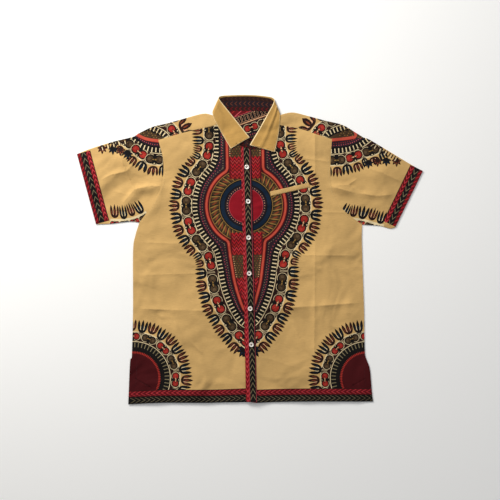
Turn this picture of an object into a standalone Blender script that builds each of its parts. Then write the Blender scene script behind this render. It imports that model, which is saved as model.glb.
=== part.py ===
"""A short-sleeved, button-front dashiki shirt, laid on its back with its sleeves spread.

Metres, +Z up. The back rests on the plane z = 0, the collar points to +Y and the
wearer's left side is at +X. Tables and sizes below are in millimetres.
"""

import math

import bpy
from mathutils import Vector

MM = 0.001

# Driving sizes
CLOTH = 1.2             # wall of every cloth piece
GAP = 0.3               # between pieces at a seam, and between layers
LAYER = CLOTH + GAP     # from the middle of one layer to the middle of the next
BACK_Z = CLOTH / 2      # middle of the back layer
FRONT_Z = BACK_Z + LAYER
FOLD_RADIUS = LAYER / 2
PUFF = 1.3              # how far the front stands up from the back on trapped air
PUFF_EDGE = 45.0        # width over which that dies out at the outline
SEAM_INSET = 0.3        # each piece is drawn in from its seam line by this
NECK_INSET = 1.0        # and the yoke and fronts from the stand, which rises beside them
LAP_EASE = 45.0         # width over which the upper front comes down beside the placket

BUTTON_RADIUS = 5.8
BUTTON_STEPS = 16

# Grid counts
ARM_STEPS = 2           # per row of the armhole table
SIDE_STEPS = 18
YOKE_SEAM_STEPS = 8
YOKE_DROP_STEPS = 4
HEM_EXTRA = 2           # columns of the lap under the placket
SLEEVE_STEPS = 9
BACK_COLUMNS = 12
STAND_STEPS = 3
FOLD_ANGLES = (45.0, 90.0, 135.0)

# Outline of each side, from the shoulder to the hem: (x, y)
SHOULDER = {
    "right": ((-282.0, 293.0), (-246.0, 310.0), (-207.0, 319.5), (-164.0, 331.5),
              (-126.0, 342.0), (-108.0, 343.0), (-88.5, 337.0)),
    "left": ((286.0, 283.0), (265.0, 296.5), (233.0, 315.0), (189.0, 326.0),
             (148.0, 337.0), (112.0, 346.0), (90.0, 344.0), (68.5, 337.0)),
}
YOKE_SEAM = {
    "right": ((-231.0, 277.0), (-190.0, 289.0), (-153.0, 299.0), (-113.0, 308.0), (-78.0, 316.0)),
    "left": ((206.5, 279.0), (161.0, 293.5), (126.0, 305.0), (62.0, 317.0)),
}
ARMHOLE = {
    "right": ((-231.0, 277.0), (-219.0, 230.5), (-218.5, 186.5), (-227.0, 151.0),
              (-252.0, 106.0), (-278.5, 69.5)),
    "left": ((206.5, 279.0), (203.0, 235.0), (203.0, 185.0), (211.0, 147.0),
             (235.0, 101.0), (282.0, 64.0)),
}
SIDE_SEAM = {
    "right": ((-278.5, 69.5), (-289.0, 35.0), (-294.5, -5.0), (-294.5, -150.0),
              (-297.5, -266.0), (-302.0, -282.0), (-306.5, -388.5)),
    "left": ((282.0, 64.0), (281.5, 23.0), (284.0, -63.0), (287.0, -150.0),
             (289.0, -254.0), (294.5, -278.0), (302.0, -301.0), (307.0, -358.0), (310.0, -381.5)),
}
SLEEVE_TOP = {
    "right": ((-282.0, 293.0), (-295.0, 285.0), (-344.0, 273.0), (-402.0, 255.0), (-436.0, 241.5)),
    "left": ((286.0, 283.0), (301.0, 278.0), (339.5, 255.0), (407.5, 214.0), (435.5, 199.0)),
}
UNDERARM = {
    "right": ((-278.5, 69.5), (-303.0, 72.0), (-350.0, 66.5), (-388.0, 65.0)),
    "left": ((282.0, 64.0), (326.0, 61.0), (353.0, 54.0), (367.0, 58.0)),
}
HEM = {
    "right": ((-306.5, -388.5), (-222.0, -384.5), (-106.0, -384.5), (-10.0, -381.0)),
    "left": ((310.0, -381.5), (125.0, -381.5), (17.5, -384.5)),
}
PLACKET_EDGES = {       # top to bottom
    "right": ((-23.0, 262.0), (-20.0, 120.0), (-15.0, -120.0), (-10.0, -381.0)),
    "left": ((3.0, 252.0), (6.0, 120.0), (12.0, -120.0), (17.5, -384.5)),
}
BUTTON_LINE = ((-8.0, 208.5), (-4.5, 122.0), (-3.5, 31.0), (-2.0, -59.0), (0.5, -147.5), (3.5, -238.0))

# The pocket's welt on the wearer's left chest
WELT_LEFT = (51.5, 141.5)
WELT_RIGHT = (149.0, 163.5)
WELT_HALF_WIDTH = 5.6
WELT_STEPS = 6
WELT_LIFT = 0.35        # more than a layer, because its grid is finer than the front's

# Collar stand, from its under end at the centre front round the neck to its upper end
# (seam x, y, z, top x, y, z, all at the middle of the wall)
STAND_ROWS = (
    (-3.0, 257.5, 2.7, -3.5, 280.0, 3.6),
    (-20.0, 263.5, 2.8, -15.0, 295.0, 4.6),
    (-36.0, 271.0, 3.1, -30.0, 314.0, 5.4),
    (-56.0, 287.0, 3.3, -48.5, 337.0, 5.8),
    (-71.0, 304.0, 3.5, -63.0, 355.5, 5.6),
    (-78.0, 316.0, 3.6, -71.5, 367.0, 4.9),
    (-83.0, 328.0, 3.6, -75.5, 374.5, 4.2),
    (-86.0, 338.0, 3.6, -77.0, 380.0, 3.4),
    (-81.0, 345.5, 2.7, -74.0, 382.5, 2.9),
    (-68.0, 348.5, 2.1, -65.5, 385.0, 2.7),
    (-40.0, 350.0, 2.1, -40.0, 386.6, 2.7),
    (-12.0, 350.0, 2.1, -12.0, 387.0, 2.7),
    (18.0, 350.0, 2.1, 18.0, 386.0, 2.7),
    (46.0, 348.5, 2.1, 47.0, 382.3, 2.7),
    (61.0, 345.5, 2.7, 55.5, 378.5, 2.9),
    (66.0, 338.0, 3.6, 59.5, 375.0, 3.4),
    (65.0, 328.0, 3.6, 58.5, 368.0, 4.2),
    (62.0, 317.0, 3.6, 55.5, 360.0, 4.9),
    (55.0, 303.0, 3.5, 48.5, 345.0, 5.6),
    (44.5, 285.0, 3.8, 39.0, 326.5, 5.9),
    (32.0, 268.0, 4.3, 27.0, 304.5, 6.1),
    (19.0, 256.5, 4.6, 14.0, 282.5, 6.0),
    (4.0, 253.0, 4.6, 1.5, 264.5, 5.8),
    (-8.0, 257.5, 4.6, -3.5, 277.0, 5.6),
    (-18.0, 261.5, 4.6, -11.0, 282.0, 5.5),
)
NECK_SIDE_RIGHT = 7     # rows of that table: the turns at the sides of the neck
NECK_SIDE_LEFT = 15
YOKE_NECK_RIGHT = 5     # and where the front yoke seams meet it
YOKE_NECK_LEFT = 17
LAP_RIGHT = 2           # the last rows on each front before the lap
LAP_LEFT = 21

# Collar fall, from one front edge round the back to the other
# (fold x, y, z, outer edge x, y, z, all at the middle of the wall)
FALL_ROWS = (
    (-2.3, 282.5, 7.6, -48.5, 255.5, 5.4),
    (-14.5, 297.5, 8.0, -57.5, 270.5, 5.3),
    (-29.5, 316.5, 8.2, -68.5, 289.5, 5.3),
    (-47.5, 339.0, 8.3, -79.5, 309.0, 5.3),
    (-62.0, 357.0, 7.9, -87.5, 323.0, 5.4),
    (-71.0, 368.5, 7.0, -91.0, 332.0, 5.4),
    (-76.5, 376.0, 6.2, -93.5, 341.0, 5.6),
    (-79.5, 381.5, 3.9, -94.5, 348.0, 2.9),
    (-76.5, 386.0, 2.3, -91.0, 345.0, 0.6),
    (-66.0, 388.4, 1.9, -78.0, 336.0, 0.6),
    (-40.0, 389.7, 1.8, -44.0, 332.0, 0.6),
    (-12.0, 390.1, 1.8, -12.0, 331.0, 0.6),
    (18.0, 389.1, 1.8, 21.0, 332.0, 0.6),
    (47.5, 385.4, 1.9, 57.0, 335.0, 0.6),
    (58.0, 382.0, 2.3, 71.0, 343.0, 0.6),
    (62.0, 376.5, 3.9, 75.0, 345.5, 2.9),
    (60.0, 369.0, 6.2, 75.5, 337.5, 5.6),
    (56.5, 361.0, 7.0, 75.0, 323.0, 5.4),
    (48.0, 345.5, 7.9, 73.5, 308.0, 5.5),
    (37.5, 326.5, 8.4, 71.5, 292.0, 5.6),
    (25.5, 304.5, 8.6, 68.5, 275.0, 5.8),
    (12.5, 283.0, 8.4, 65.0, 259.5, 6.0),
    (1.0, 263.5, 8.0, 62.0, 247.0, 6.2),
)
FALL_SPANS = (0.0, 0.02, 0.06, 0.2, 0.45, 0.72, 1.0)   # steps across the fall
FALL_SOFT_ROLL = 3.0        # how soon the fall comes down from its fold, at the front
FALL_SHARP_ROLL = 70.0      # and behind the neck, where it is pressed under the stand
FALL_ROLL_HEIGHTS = (2.0, 4.0)  # fold heights between which one becomes the other

# Where the yoke and fronts are lifted over the fall behind the neck
NECK_CENTRE = (-10.0, 342.0)
NECK_HALF_WIDTH = 92.0
NECK_HALF_DEPTH = 18.0
NECK_EASE = 32.0

# Largest folds of the front layer: name, from (x, y), to (x, y), width, height
FOLDS = (
    ("press line", (163.0, 330.0), (163.0, -350.0), 44.0, 1.2),
    ("fold over the hip, wearer's left", (10.0, -151.0), (287.0, -135.0), 60.0, 2.0),
    ("fold over the hip, wearer's right", (-290.0, -149.0), (-25.0, -154.0), 60.0, 1.6),
    ("waist fold", (40.0, -13.0), (277.0, -13.0), 56.0, 1.2),
    ("low sweep, wearer's right", (-205.0, -160.0), (-118.0, -262.0), 80.0, 2.0),
    ("low sweep, wearer's left", (110.0, -195.0), (160.0, -270.0), 76.0, 2.0),
    ("right sleeve, along the cap", (-330.0, 242.0), (-290.0, 152.0), 52.0, 1.8),
    ("right sleeve, to the cuff", (-310.0, 197.0), (-363.0, 186.0), 52.0, 1.5),
    ("right sleeve, to the armhole", (-310.0, 197.0), (-227.0, 171.0), 52.0, 1.6),
    ("right underarm, upper", (-284.0, 150.0), (-226.0, 156.0), 50.0, 3.0),
    ("right underarm, lower", (-292.0, 96.0), (-240.0, 138.0), 54.0, 4.2),
    ("left sleeve, upper", (297.0, 204.0), (375.0, 174.0), 54.0, 2.0),
    ("left sleeve, lower", (272.0, 141.0), (353.0, 139.0), 54.0, 2.0),
    ("left underarm, upper", (206.0, 172.0), (262.0, 152.0), 50.0, 2.6),
    ("left underarm, lower", (214.0, 132.0), (262.0, 112.0), 54.0, 4.2),
)

CREAM = (0.66, 0.47, 0.19, 1.0)
BORDER = (0.10, 0.045, 0.03, 1.0)
PEARL = (0.80, 0.76, 0.68, 1.0)


def smooth_step(value):
    """0 below 0, 1 above 1 and a soft rise between."""
    clamped = min(1.0, max(0.0, value))
    return clamped * clamped * (3.0 - 2.0 * clamped)


def segment_distance(point, start, end):
    """Distance from a point to a straight stretch, and how far along it the foot is."""
    along = end - start
    share = max(0.0, min(1.0, (point - start).dot(along) / along.length_squared))
    return (point - start - along * share).length, share


def curve_points(rows, steps):
    """Points on a smooth curve through the rows, steps to each stretch."""
    points = [Vector(row) for row in rows]
    padded = [2 * points[0] - points[1]] + points + [2 * points[-1] - points[-2]]
    result = []
    for index in range(len(points) - 1):
        a, b, c, d = padded[index:index + 4]
        for step in range(steps):
            t = step / steps
            result.append(0.5 * (2 * b + (c - a) * t + (2 * a - 5 * b + 4 * c - d) * t ** 2
                                 + (3 * b - a - 3 * c + d) * t ** 3))
    return result + [points[-1]]


def even_points(points, count):
    """count + 1 points at even distances along a chain of points."""
    lengths = [0.0]
    for first, second in zip(points, points[1:]):
        lengths.append(lengths[-1] + (second - first).length)
    result = []
    index = 0
    for number in range(count + 1):
        target = lengths[-1] * number / count
        while index < len(points) - 2 and lengths[index + 1] < target:
            index += 1
        share = (target - lengths[index]) / (lengths[index + 1] - lengths[index])
        result.append(points[index].lerp(points[index + 1], min(1.0, max(0.0, share))))
    return result


def even_curve(rows, count):
    """Evenly spaced points on the smooth curve through the rows."""
    return even_points(curve_points(rows, 8), count)


def drawn_in(points, side, distance=SEAM_INSET):
    """The chain moved sideways, to its left for side 1 and to its right for side -1."""
    result = []
    for index, point in enumerate(points):
        before = points[max(0, index - 1)]
        after = points[min(len(points) - 1, index + 1)]
        along = (after - before).normalized()
        result.append(point + side * distance * Vector((-along.y, along.x)))
    return result


def patch(bottom, top, left, right):
    """Rows of points that fill the space between four chains of points."""
    columns = len(bottom) - 1
    rows = len(left) - 1
    grid = []
    for row in range(rows + 1):
        v = row / rows
        line = []
        for column in range(columns + 1):
            u = column / columns
            across = left[row].lerp(right[row], u)
            along = bottom[column].lerp(top[column], v)
            corners = bottom[0].lerp(bottom[-1], u).lerp(top[0].lerp(top[-1], u), v)
            line.append(across + along - corners)
        grid.append(line)
    return grid


def outline_points(side):
    """The silhouette of one half, from the neck round the sleeve to the hem's middle."""
    chain = [Vector(row) for row in reversed(SHOULDER[side])]
    chain += [Vector(row) for row in SLEEVE_TOP[side][1:]]
    chain += [Vector(row) for row in reversed(UNDERARM[side])]
    chain += [Vector(row) for row in SIDE_SEAM[side][1:]]
    return chain


OUTLINES = [outline_points("right"), outline_points("left")]


def edge_fade(point):
    """0 on the silhouette, 1 well inside it."""
    nearest = min(segment_distance(point, first, second)[0]
                  for chain in OUTLINES for first, second in zip(chain, chain[1:]))
    return smooth_step(nearest / PUFF_EDGE)


def fold_height(point):
    """Height of the front's folds at a point."""
    total = 0.0
    for _, start, end, width, height in FOLDS:
        start = Vector(start)
        end = Vector(end)
        distance, share = segment_distance(point, start, end)
        taper = 0.35 + 0.65 * math.sin(math.pi * share)
        total += height * taper * (1.0 - smooth_step(2.0 * distance / width))
    return total


def neck_lift(point):
    """How far a layer is lifted over the collar's fall."""
    dx = max(0.0, abs(point.x - NECK_CENTRE[0]) - NECK_HALF_WIDTH)
    dy = max(0.0, abs(point.y - NECK_CENTRE[1]) - NECK_HALF_DEPTH)
    return LAYER * (1.0 - smooth_step(math.hypot(dx, dy) / NECK_EASE))


def back_height(point):
    """Middle of the back layer."""
    return BACK_Z + neck_lift(point)


def front_height(point):
    """Middle of the front layer."""
    fade = edge_fade(point)
    return FRONT_Z + neck_lift(point) + fade * (PUFF + fold_height(point))


def lap_edge_x(y):
    """The placket's outer edge on the wearer's left front."""
    rows = PLACKET_EDGES["left"]
    for (x0, y0), (x1, y1) in zip(rows, rows[1:]):
        if y >= y1:
            return x0 + (x1 - x0) * (y0 - y) / (y0 - y1)
    return rows[-1][0]


def upper_front_height(point):
    """Middle of the wearer's left front, which laps over the right one."""
    beside = smooth_step((point.x - lap_edge_x(point.y)) / LAP_EASE)
    return front_height(point) + LAYER * (1.0 - beside)


def lifted(grid, height):
    """The flat grid with each point's height added."""
    return [[Vector((p.x, p.y, height(p))) for p in line] for line in grid]


def make_material(name, colour, roughness):
    material = bpy.data.materials.new(name)
    material.use_nodes = True
    shader = material.node_tree.nodes["Principled BSDF"]
    shader.inputs["Base Color"].default_value = colour
    shader.inputs["Roughness"].default_value = roughness
    shader.inputs["Metallic"].default_value = 0.0
    return material


def cloth_object(name, vertices, faces, material, collection):
    """A sheet at the middle of its wall, thickened to the cloth."""
    mesh = bpy.data.meshes.new(name)
    mesh.from_pydata([p * MM for p in vertices], [], faces)
    mesh.shade_smooth()
    mesh.set_sharp_from_angle(angle=math.radians(50.0))
    mesh.materials.append(material)
    piece = bpy.data.objects.new(name, mesh)
    collection.objects.link(piece)
    wall = piece.modifiers.new("Wall", "SOLIDIFY")
    wall.thickness = CLOTH * MM
    wall.offset = 0.0
    return piece


def sheet_from_grid(name, grid, material, collection, closed=False):
    """A cloth piece from rows of points; closed joins each row's end to its start."""
    columns = len(grid[0])
    vertices = [point for line in grid for point in line]
    spans = columns if closed else columns - 1
    faces = []
    for row in range(len(grid) - 1):
        for column in range(spans):
            after = (column + 1) % columns
            faces.append((row * columns + column, row * columns + after,
                          (row + 1) * columns + after, (row + 1) * columns + column))
    return cloth_object(name, vertices, faces, material, collection)


def neck_seam(first, last):
    """The stand's seam points on the flat, drawn away from the stand."""
    step = 1 if last >= first else -1
    chain = [Vector(STAND_ROWS[row][:2]) for row in range(first, last + step, step)]
    return drawn_in(chain, step, NECK_INSET)


def armhole_chain(side):
    return curve_points(ARMHOLE[side], ARM_STEPS)


def shoulder_end_chain(side):
    """The sleeve seam where it crosses the yoke, from its front corner to the shoulder fold."""
    return even_points([Vector(YOKE_SEAM[side][0]), Vector(SHOULDER[side][0])], YOKE_DROP_STEPS)


def lap_columns(side, count):
    """The placket's two edges and the lines between them, from hem to neck."""
    first = even_curve(tuple(reversed(PLACKET_EDGES["right"])), count)
    last = even_curve(tuple(reversed(PLACKET_EDGES["left"])), count)
    if side == "left":
        first, last = last, first
    return [[a.lerp(b, column / HEM_EXTRA) for a, b in zip(first, last)]
            for column in range(HEM_EXTRA + 1)]


def front_grid(side):
    """Flat grid of one front, rows from hem to yoke, columns from the side to the far edge."""
    sign = 1 if side == "right" else -1
    arm = armhole_chain(side)
    outer = list(reversed(even_curve(SIDE_SEAM[side], SIDE_STEPS))) + list(reversed(arm[:-1]))
    neck = neck_seam(YOKE_NECK_RIGHT, LAP_RIGHT) if side == "right" else neck_seam(YOKE_NECK_LEFT, LAP_LEFT)
    seam = drawn_in(even_curve(YOKE_SEAM[side], YOKE_SEAM_STEPS), -sign)
    laps = lap_columns(side, len(outer) - 1)
    top = seam[:-1] + neck + [laps[0][-1]]
    bottom = even_curve(HEM[side], len(top) - 1)
    outer = drawn_in(outer, -sign)
    top[0] = outer[-1] + Vector((0.0, -SEAM_INSET))
    outer[-1] = top[0]
    bottom[0] = outer[0]
    bottom[-1] = laps[0][0]
    grid = patch(bottom, top, outer, laps[0])
    for row, line in enumerate(grid):
        line.extend(lap[row] for lap in laps[1:])
    return grid


def make_front(side, material, collection):
    height = front_height if side == "right" else upper_front_height
    grid = lifted(front_grid(side), height)
    if side == "left":
        grid = [list(reversed(line)) for line in grid]
    return sheet_from_grid("front_" + side, grid, material, collection)


def make_placket(material, collection):
    """The band on the upper front, on the same points one layer up."""
    rows = len(front_grid("left")) - 1
    grid = []
    for row in range(rows + 1):
        line = []
        for lap in lap_columns("right", rows):
            point = lap[row]
            line.append(Vector((point.x, point.y, upper_front_height(point) + LAYER)))
        grid.append(line)
    return sheet_from_grid("placket_band", grid, material, collection)


def make_back(material, collection):
    """The back below the yoke, flat on the ground."""
    sides = {}
    for side, sign in (("right", -1), ("left", 1)):
        arm = armhole_chain(side)[ARM_STEPS:]
        chain = arm[:-1] + even_curve(SIDE_SEAM[side], SIDE_STEPS)
        sides[side] = list(reversed(drawn_in(chain, -sign)))
    down = Vector((0.0, -SEAM_INSET))
    top = [sides["right"][-1].lerp(sides["left"][-1], n / BACK_COLUMNS) + down
           for n in range(BACK_COLUMNS + 1)]
    hem = list(HEM["right"][:3]) + list(reversed(HEM["left"][:2]))
    bottom = even_curve(hem, BACK_COLUMNS)
    for side, end in (("right", 0), ("left", -1)):
        sides[side][-1] = top[end]
        bottom[end] = sides[side][0]
    grid = patch(bottom, top, sides["right"], sides["left"])
    return sheet_from_grid("back_panel", lifted(grid, back_height), material, collection)


def fold_ring(edge, inward):
    """Points round a fold, from the front layer to the back layer, on the wall's middle."""
    middle = (FRONT_Z + BACK_Z) / 2 + neck_lift(edge)
    centre = edge + inward * (CLOTH / 2 + FOLD_RADIUS)
    points = []
    for degrees in FOLD_ANGLES:
        angle = math.radians(degrees)
        reach = centre - inward * FOLD_RADIUS * math.sin(angle)
        points.append(Vector((reach.x, reach.y, middle + FOLD_RADIUS * math.cos(angle))))
    return points


def inward_normals(chain, side):
    result = []
    for index in range(len(chain)):
        before = chain[max(0, index - 1)]
        after = chain[min(len(chain) - 1, index + 1)]
        along = (after - before).normalized()
        result.append(side * Vector((-along.y, along.x)))
    return result


def make_sleeve(side, material, collection):
    """A flattened tube, open at the armhole and at the cuff, folded along its top and underarm."""
    sign = 1 if side == "left" else -1
    inset = CLOTH / 2 + FOLD_RADIUS
    arm = list(reversed(armhole_chain(side))) + shoulder_end_chain(side)[1:]
    cuff = even_points([Vector(UNDERARM[side][-1]), Vector(SLEEVE_TOP[side][-1])], len(arm) - 1)
    top = even_curve(SLEEVE_TOP[side], SLEEVE_STEPS)
    under = even_curve(UNDERARM[side], SLEEVE_STEPS)
    top_inward = inward_normals(top, -sign)
    under_inward = inward_normals(under, sign)
    arm = drawn_in(arm, -sign)
    shift = arm[-1] - top[0]
    top = [p + shift * (1.0 - n / SLEEVE_STEPS) for n, p in enumerate(top)]
    shift = arm[0] - under[0]
    under = [p + shift * (1.0 - n / SLEEVE_STEPS) for n, p in enumerate(under)]
    rows = patch([p + n * inset for p, n in zip(under, under_inward)],
                 [p + n * inset for p, n in zip(top, top_inward)], arm, cuff)
    grid = []
    for station in range(SLEEVE_STEPS + 1):
        flat = [line[station] for line in rows]
        if station in (0, SLEEVE_STEPS):
            flat[0] = under[station] + under_inward[station] * inset
            flat[-1] = top[station] + top_inward[station] * inset
        ring = [Vector((p.x, p.y, front_height(p))) for p in flat]
        ring += fold_ring(top[station], top_inward[station])
        ring += [Vector((p.x, p.y, back_height(p))) for p in reversed(flat)]
        ring += reversed(fold_ring(under[station], under_inward[station]))
        grid.append(ring)
    if side == "left":
        grid.reverse()
    return sheet_from_grid("sleeve_" + side, grid, material, collection, closed=True)


def flap_rows(side):
    """Front layer of one shoulder, rows from the front seam to the fold, columns from the
    armhole to the neck."""
    sign = 1 if side == "right" else -1
    fold = even_curve(SHOULDER[side], YOKE_SEAM_STEPS)
    inward = inward_normals(fold, -sign)
    inset = CLOTH / 2 + FOLD_RADIUS
    seam = drawn_in(even_curve(YOKE_SEAM[side], YOKE_SEAM_STEPS), sign)
    arm = drawn_in(shoulder_end_chain(side), -sign)
    if side == "right":
        neck = neck_seam(YOKE_NECK_RIGHT, NECK_SIDE_RIGHT)
    else:
        neck = neck_seam(YOKE_NECK_LEFT, NECK_SIDE_LEFT)
    neck = even_points(neck, YOKE_DROP_STEPS)
    top = [p + n * inset for p, n in zip(fold, inward)]
    seam[0] = arm[0] + Vector((0.0, SEAM_INSET))
    arm[0] = seam[0]
    arm[-1] = top[0] + (arm[-1] - Vector(SHOULDER[side][0]))
    top[0] = arm[-1]
    seam[-1] = neck[0] + Vector((0.0, SEAM_INSET))
    neck[0] = seam[-1]
    neck[-1] = top[-1]
    return patch(seam, top, arm, neck), fold, inward


def make_yoke(material, collection):
    """The back yoke: one back layer, folded forward over each shoulder to the front seams."""
    flaps = {side: flap_rows(side) for side in ("right", "left")}
    neck = [Vector(STAND_ROWS[row][:2]) for row in range(NECK_SIDE_RIGHT, NECK_SIDE_LEFT + 1)]
    neck = drawn_in(neck, -1, NECK_INSET)
    top = list(flaps["right"][0][-1]) + neck + list(reversed(flaps["left"][0][-1]))
    sides = {}
    for side, sign in (("right", -1), ("left", 1)):
        chain = list(reversed(shoulder_end_chain(side))) + armhole_chain(side)[1:ARM_STEPS + 1]
        chain = drawn_in(chain, -sign)
        chain[0] = flaps[side][0][-1][0]
        chain[-1] = chain[-1] + Vector((0.0, SEAM_INSET))
        sides[side] = list(reversed(chain))
    count = len(top) - 1
    bottom = [sides["right"][0].lerp(sides["left"][0], n / count) for n in range(count + 1)]
    back = patch(bottom, top, sides["right"], sides["left"])
    vertices = []
    numbers = {}
    faces = []

    def add(key, point):
        numbers[key] = len(vertices)
        vertices.append(point)

    def face(part, row, column):
        near = (part, row)
        far = (part, row + 1)
        faces.append(tuple(numbers[key] for key in (
            near + (column,), near + (column + 1,), far + (column + 1,), far + (column,))))

    for row, line in enumerate(reversed(back)):
        for column, point in enumerate(line):
            add(("back", row, column), Vector((point.x, point.y, back_height(point))))
    for row in range(len(back) - 1):
        for column in range(count):
            face("back", row, column)
    for side in ("right", "left"):
        grid, fold, inward = flaps[side]
        levels = len(grid) + len(FOLD_ANGLES)
        for number in range(YOKE_SEAM_STEPS + 1):
            column = number if side == "right" else count - number
            around = [Vector((line[number].x, line[number].y, front_height(line[number]))) for line in grid]
            around += fold_ring(fold[number], inward[number])
            for level, point in enumerate(around):
                add((side, level, column), point)
            numbers[(side, levels, column)] = numbers[("back", 0, column)]
        start = 0 if side == "right" else count - YOKE_SEAM_STEPS
        for level in range(levels):
            for column in range(start, start + YOKE_SEAM_STEPS):
                face(side, level, column)
    return cloth_object("back_yoke", vertices, faces, material, collection)


def make_stand(material, collection):
    """The band that stands on the neck seam, its front ends lapped."""
    grid = []
    for row in STAND_ROWS:
        seam = Vector(row[:3])
        top = Vector(row[3:])
        grid.append([seam.lerp(top, step / STAND_STEPS) for step in range(STAND_STEPS + 1)])
    return sheet_from_grid("collar_stand", grid, material, collection)


def make_fall(material, collection):
    """The folded-down collar: over the fronts at the neck's front, under the yoke behind."""
    folds = curve_points([row[:3] for row in FALL_ROWS], 2)
    edges = curve_points([row[3:] for row in FALL_ROWS], 2)
    grid = []
    low, high = FALL_ROLL_HEIGHTS
    for fold, edge in zip(folds, edges):
        line = []
        softness = smooth_step((fold.z - low) / (high - low))
        roll = FALL_SHARP_ROLL + (FALL_SOFT_ROLL - FALL_SHARP_ROLL) * softness
        for share in FALL_SPANS:
            point = fold.lerp(edge, share)
            drop = (1.0 - math.exp(-roll * share)) / (1.0 - math.exp(-roll))
            point.z = fold.z + (edge.z - fold.z) * drop
            line.append(point)
        grid.append(line)
    return sheet_from_grid("collar_fall", grid, material, collection)


def make_welt(material, collection):
    """The narrow band over the chest pocket's mouth."""
    start = Vector(WELT_LEFT)
    end = Vector(WELT_RIGHT)
    along = (end - start).normalized()
    across = Vector((-along.y, along.x)) * WELT_HALF_WIDTH
    grid = []
    for side in (-1.0, 0.0, 1.0):
        line = []
        for number in range(WELT_STEPS + 1):
            point = start.lerp(end, number / WELT_STEPS) + across * side
            line.append(Vector((point.x, point.y, upper_front_height(point) + LAYER + WELT_LIFT)))
        grid.append(line)
    return sheet_from_grid("pocket_welt", grid, material, collection)


def make_button(number, place, material, collection):
    """A turned button with a rim and a dished face."""
    rim = BUTTON_RADIUS
    profile = ((0.0, 1.5), (0.52 * rim, 1.5), (0.72 * rim, 2.3), (0.9 * rim, 2.3),
               (rim, 1.7), (rim, 0.7), (0.86 * rim, 0.0), (0.0, 0.0))
    mesh = bpy.data.meshes.new("button_%d" % number)
    vertices = [(x * MM, 0.0, z * MM) for x, z in profile]
    mesh.from_pydata(vertices, [(n, n + 1) for n in range(len(profile) - 1)], [])
    mesh.materials.append(material)
    button = bpy.data.objects.new("button_%d" % number, mesh)
    collection.objects.link(button)
    turn = button.modifiers.new("Turn", "SCREW")
    turn.steps = BUTTON_STEPS
    turn.render_steps = BUTTON_STEPS
    turn.use_merge_vertices = True
    turn.merge_threshold = 0.00001
    turn.use_smooth_shade = True
    point = Vector(place)
    seat = upper_front_height(point) + LAYER + CLOTH / 2 + GAP
    button.location = Vector((point.x, point.y, seat)) * MM
    return button


def build():
    for old in list(bpy.data.objects):
        bpy.data.objects.remove(old, do_unlink=True)
    collection = bpy.data.collections.new("dashiki_shirt")
    bpy.context.scene.collection.children.link(collection)
    cream = make_material("printed_cotton", CREAM, 0.85)
    border = make_material("border_cotton", BORDER, 0.85)
    pearl = make_material("pearl_button", PEARL, 0.3)
    make_back(cream, collection)
    make_yoke(cream, collection)
    for side in ("right", "left"):
        make_front(side, cream, collection)
        make_sleeve(side, cream, collection)
    make_placket(border, collection)
    make_stand(border, collection)
    make_fall(cream, collection)
    make_welt(cream, collection)
    for number, place in enumerate(BUTTON_LINE, start=1):
        make_button(number, place, pearl, collection)


build()
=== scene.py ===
import math

import bpy
import numpy as np
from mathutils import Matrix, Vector
from mathutils.geometry import delaunay_2d_cdt


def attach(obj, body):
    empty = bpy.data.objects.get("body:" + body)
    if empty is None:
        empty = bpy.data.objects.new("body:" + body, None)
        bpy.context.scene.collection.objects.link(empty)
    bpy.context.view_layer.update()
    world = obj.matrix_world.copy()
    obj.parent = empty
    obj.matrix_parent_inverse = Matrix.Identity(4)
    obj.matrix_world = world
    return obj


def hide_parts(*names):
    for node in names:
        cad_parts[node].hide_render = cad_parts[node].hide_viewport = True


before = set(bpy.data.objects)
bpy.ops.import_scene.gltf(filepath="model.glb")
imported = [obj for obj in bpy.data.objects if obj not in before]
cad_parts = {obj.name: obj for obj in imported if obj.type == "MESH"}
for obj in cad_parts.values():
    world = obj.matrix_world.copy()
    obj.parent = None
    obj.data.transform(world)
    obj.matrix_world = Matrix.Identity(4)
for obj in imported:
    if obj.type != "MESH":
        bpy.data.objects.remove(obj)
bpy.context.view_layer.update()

# A cotton dashiki shirt laid flat. All sizes below are in millimetres, +Z up, the collar to +Y.
# The wearer's right side is at -X, so it is on the left as the camera sees it.
mm = 0.001

# The camera looks straight down at 1.26 m of floor
camera = {"height": 3200.0, "seenWidth": 1260.0, "sensor": 36.0}

cloth = {
    "thickness": 0.5,   # a light cotton is nearer 0.3, a little more keeps the shells apart
    "layer": 1.5,       # from the middle of one layer to the middle of the next
    "backHeight": 0.6,  # middle of the layer that rests on the floor
    "puff": 1.3,        # the front stands up this much on trapped air
    "puffEdge": 45.0,   # and comes down over this width at the outline
    "foldRise": 1.5,    # folds and creases are this much higher than their tables say
    "creaseRise": 1.9,
    "foldInset": 1.0,   # the folds of the yoke and sleeves start this far inside the outline
    "lapEase": 45.0,    # the upper front comes down from the lower one over this width
    "netSpacing": 5.0,  # of the points between the print's own edges
}

shoulder = {
    "right": ((-282, 293), (-246, 310), (-207, 319.5), (-164, 331.5), (-126, 342), (-108, 343), (-88.5, 337)),
    "left": ((286, 283), (265, 296.5), (233, 315), (189, 326), (148, 337), (112, 346), (90, 344),
             (68.5, 337)),
}
yokeSeam = {
    "right": ((-231, 277), (-190, 289), (-153, 299), (-113, 308), (-78, 316)),
    "left": ((206.5, 279), (161, 293.5), (126, 305), (62, 317)),
}
armhole = {
    "right": ((-231, 277), (-219, 230.5), (-218.5, 186.5), (-227, 151), (-252, 106), (-278.5, 69.5)),
    "left": ((206.5, 279), (203, 235), (203, 185), (211, 147), (235, 101), (282, 64)),
}
sideSeam = {
    "right": ((-278.5, 69.5), (-289, 35), (-294.5, -5), (-294.5, -150), (-297.5, -266), (-302, -282),
              (-306.5, -388.5)),
    "left": ((282, 64), (281.5, 23), (284, -63), (287, -150), (289, -254), (294.5, -278), (302, -301),
             (307, -358), (310, -381.5)),
}
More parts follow.
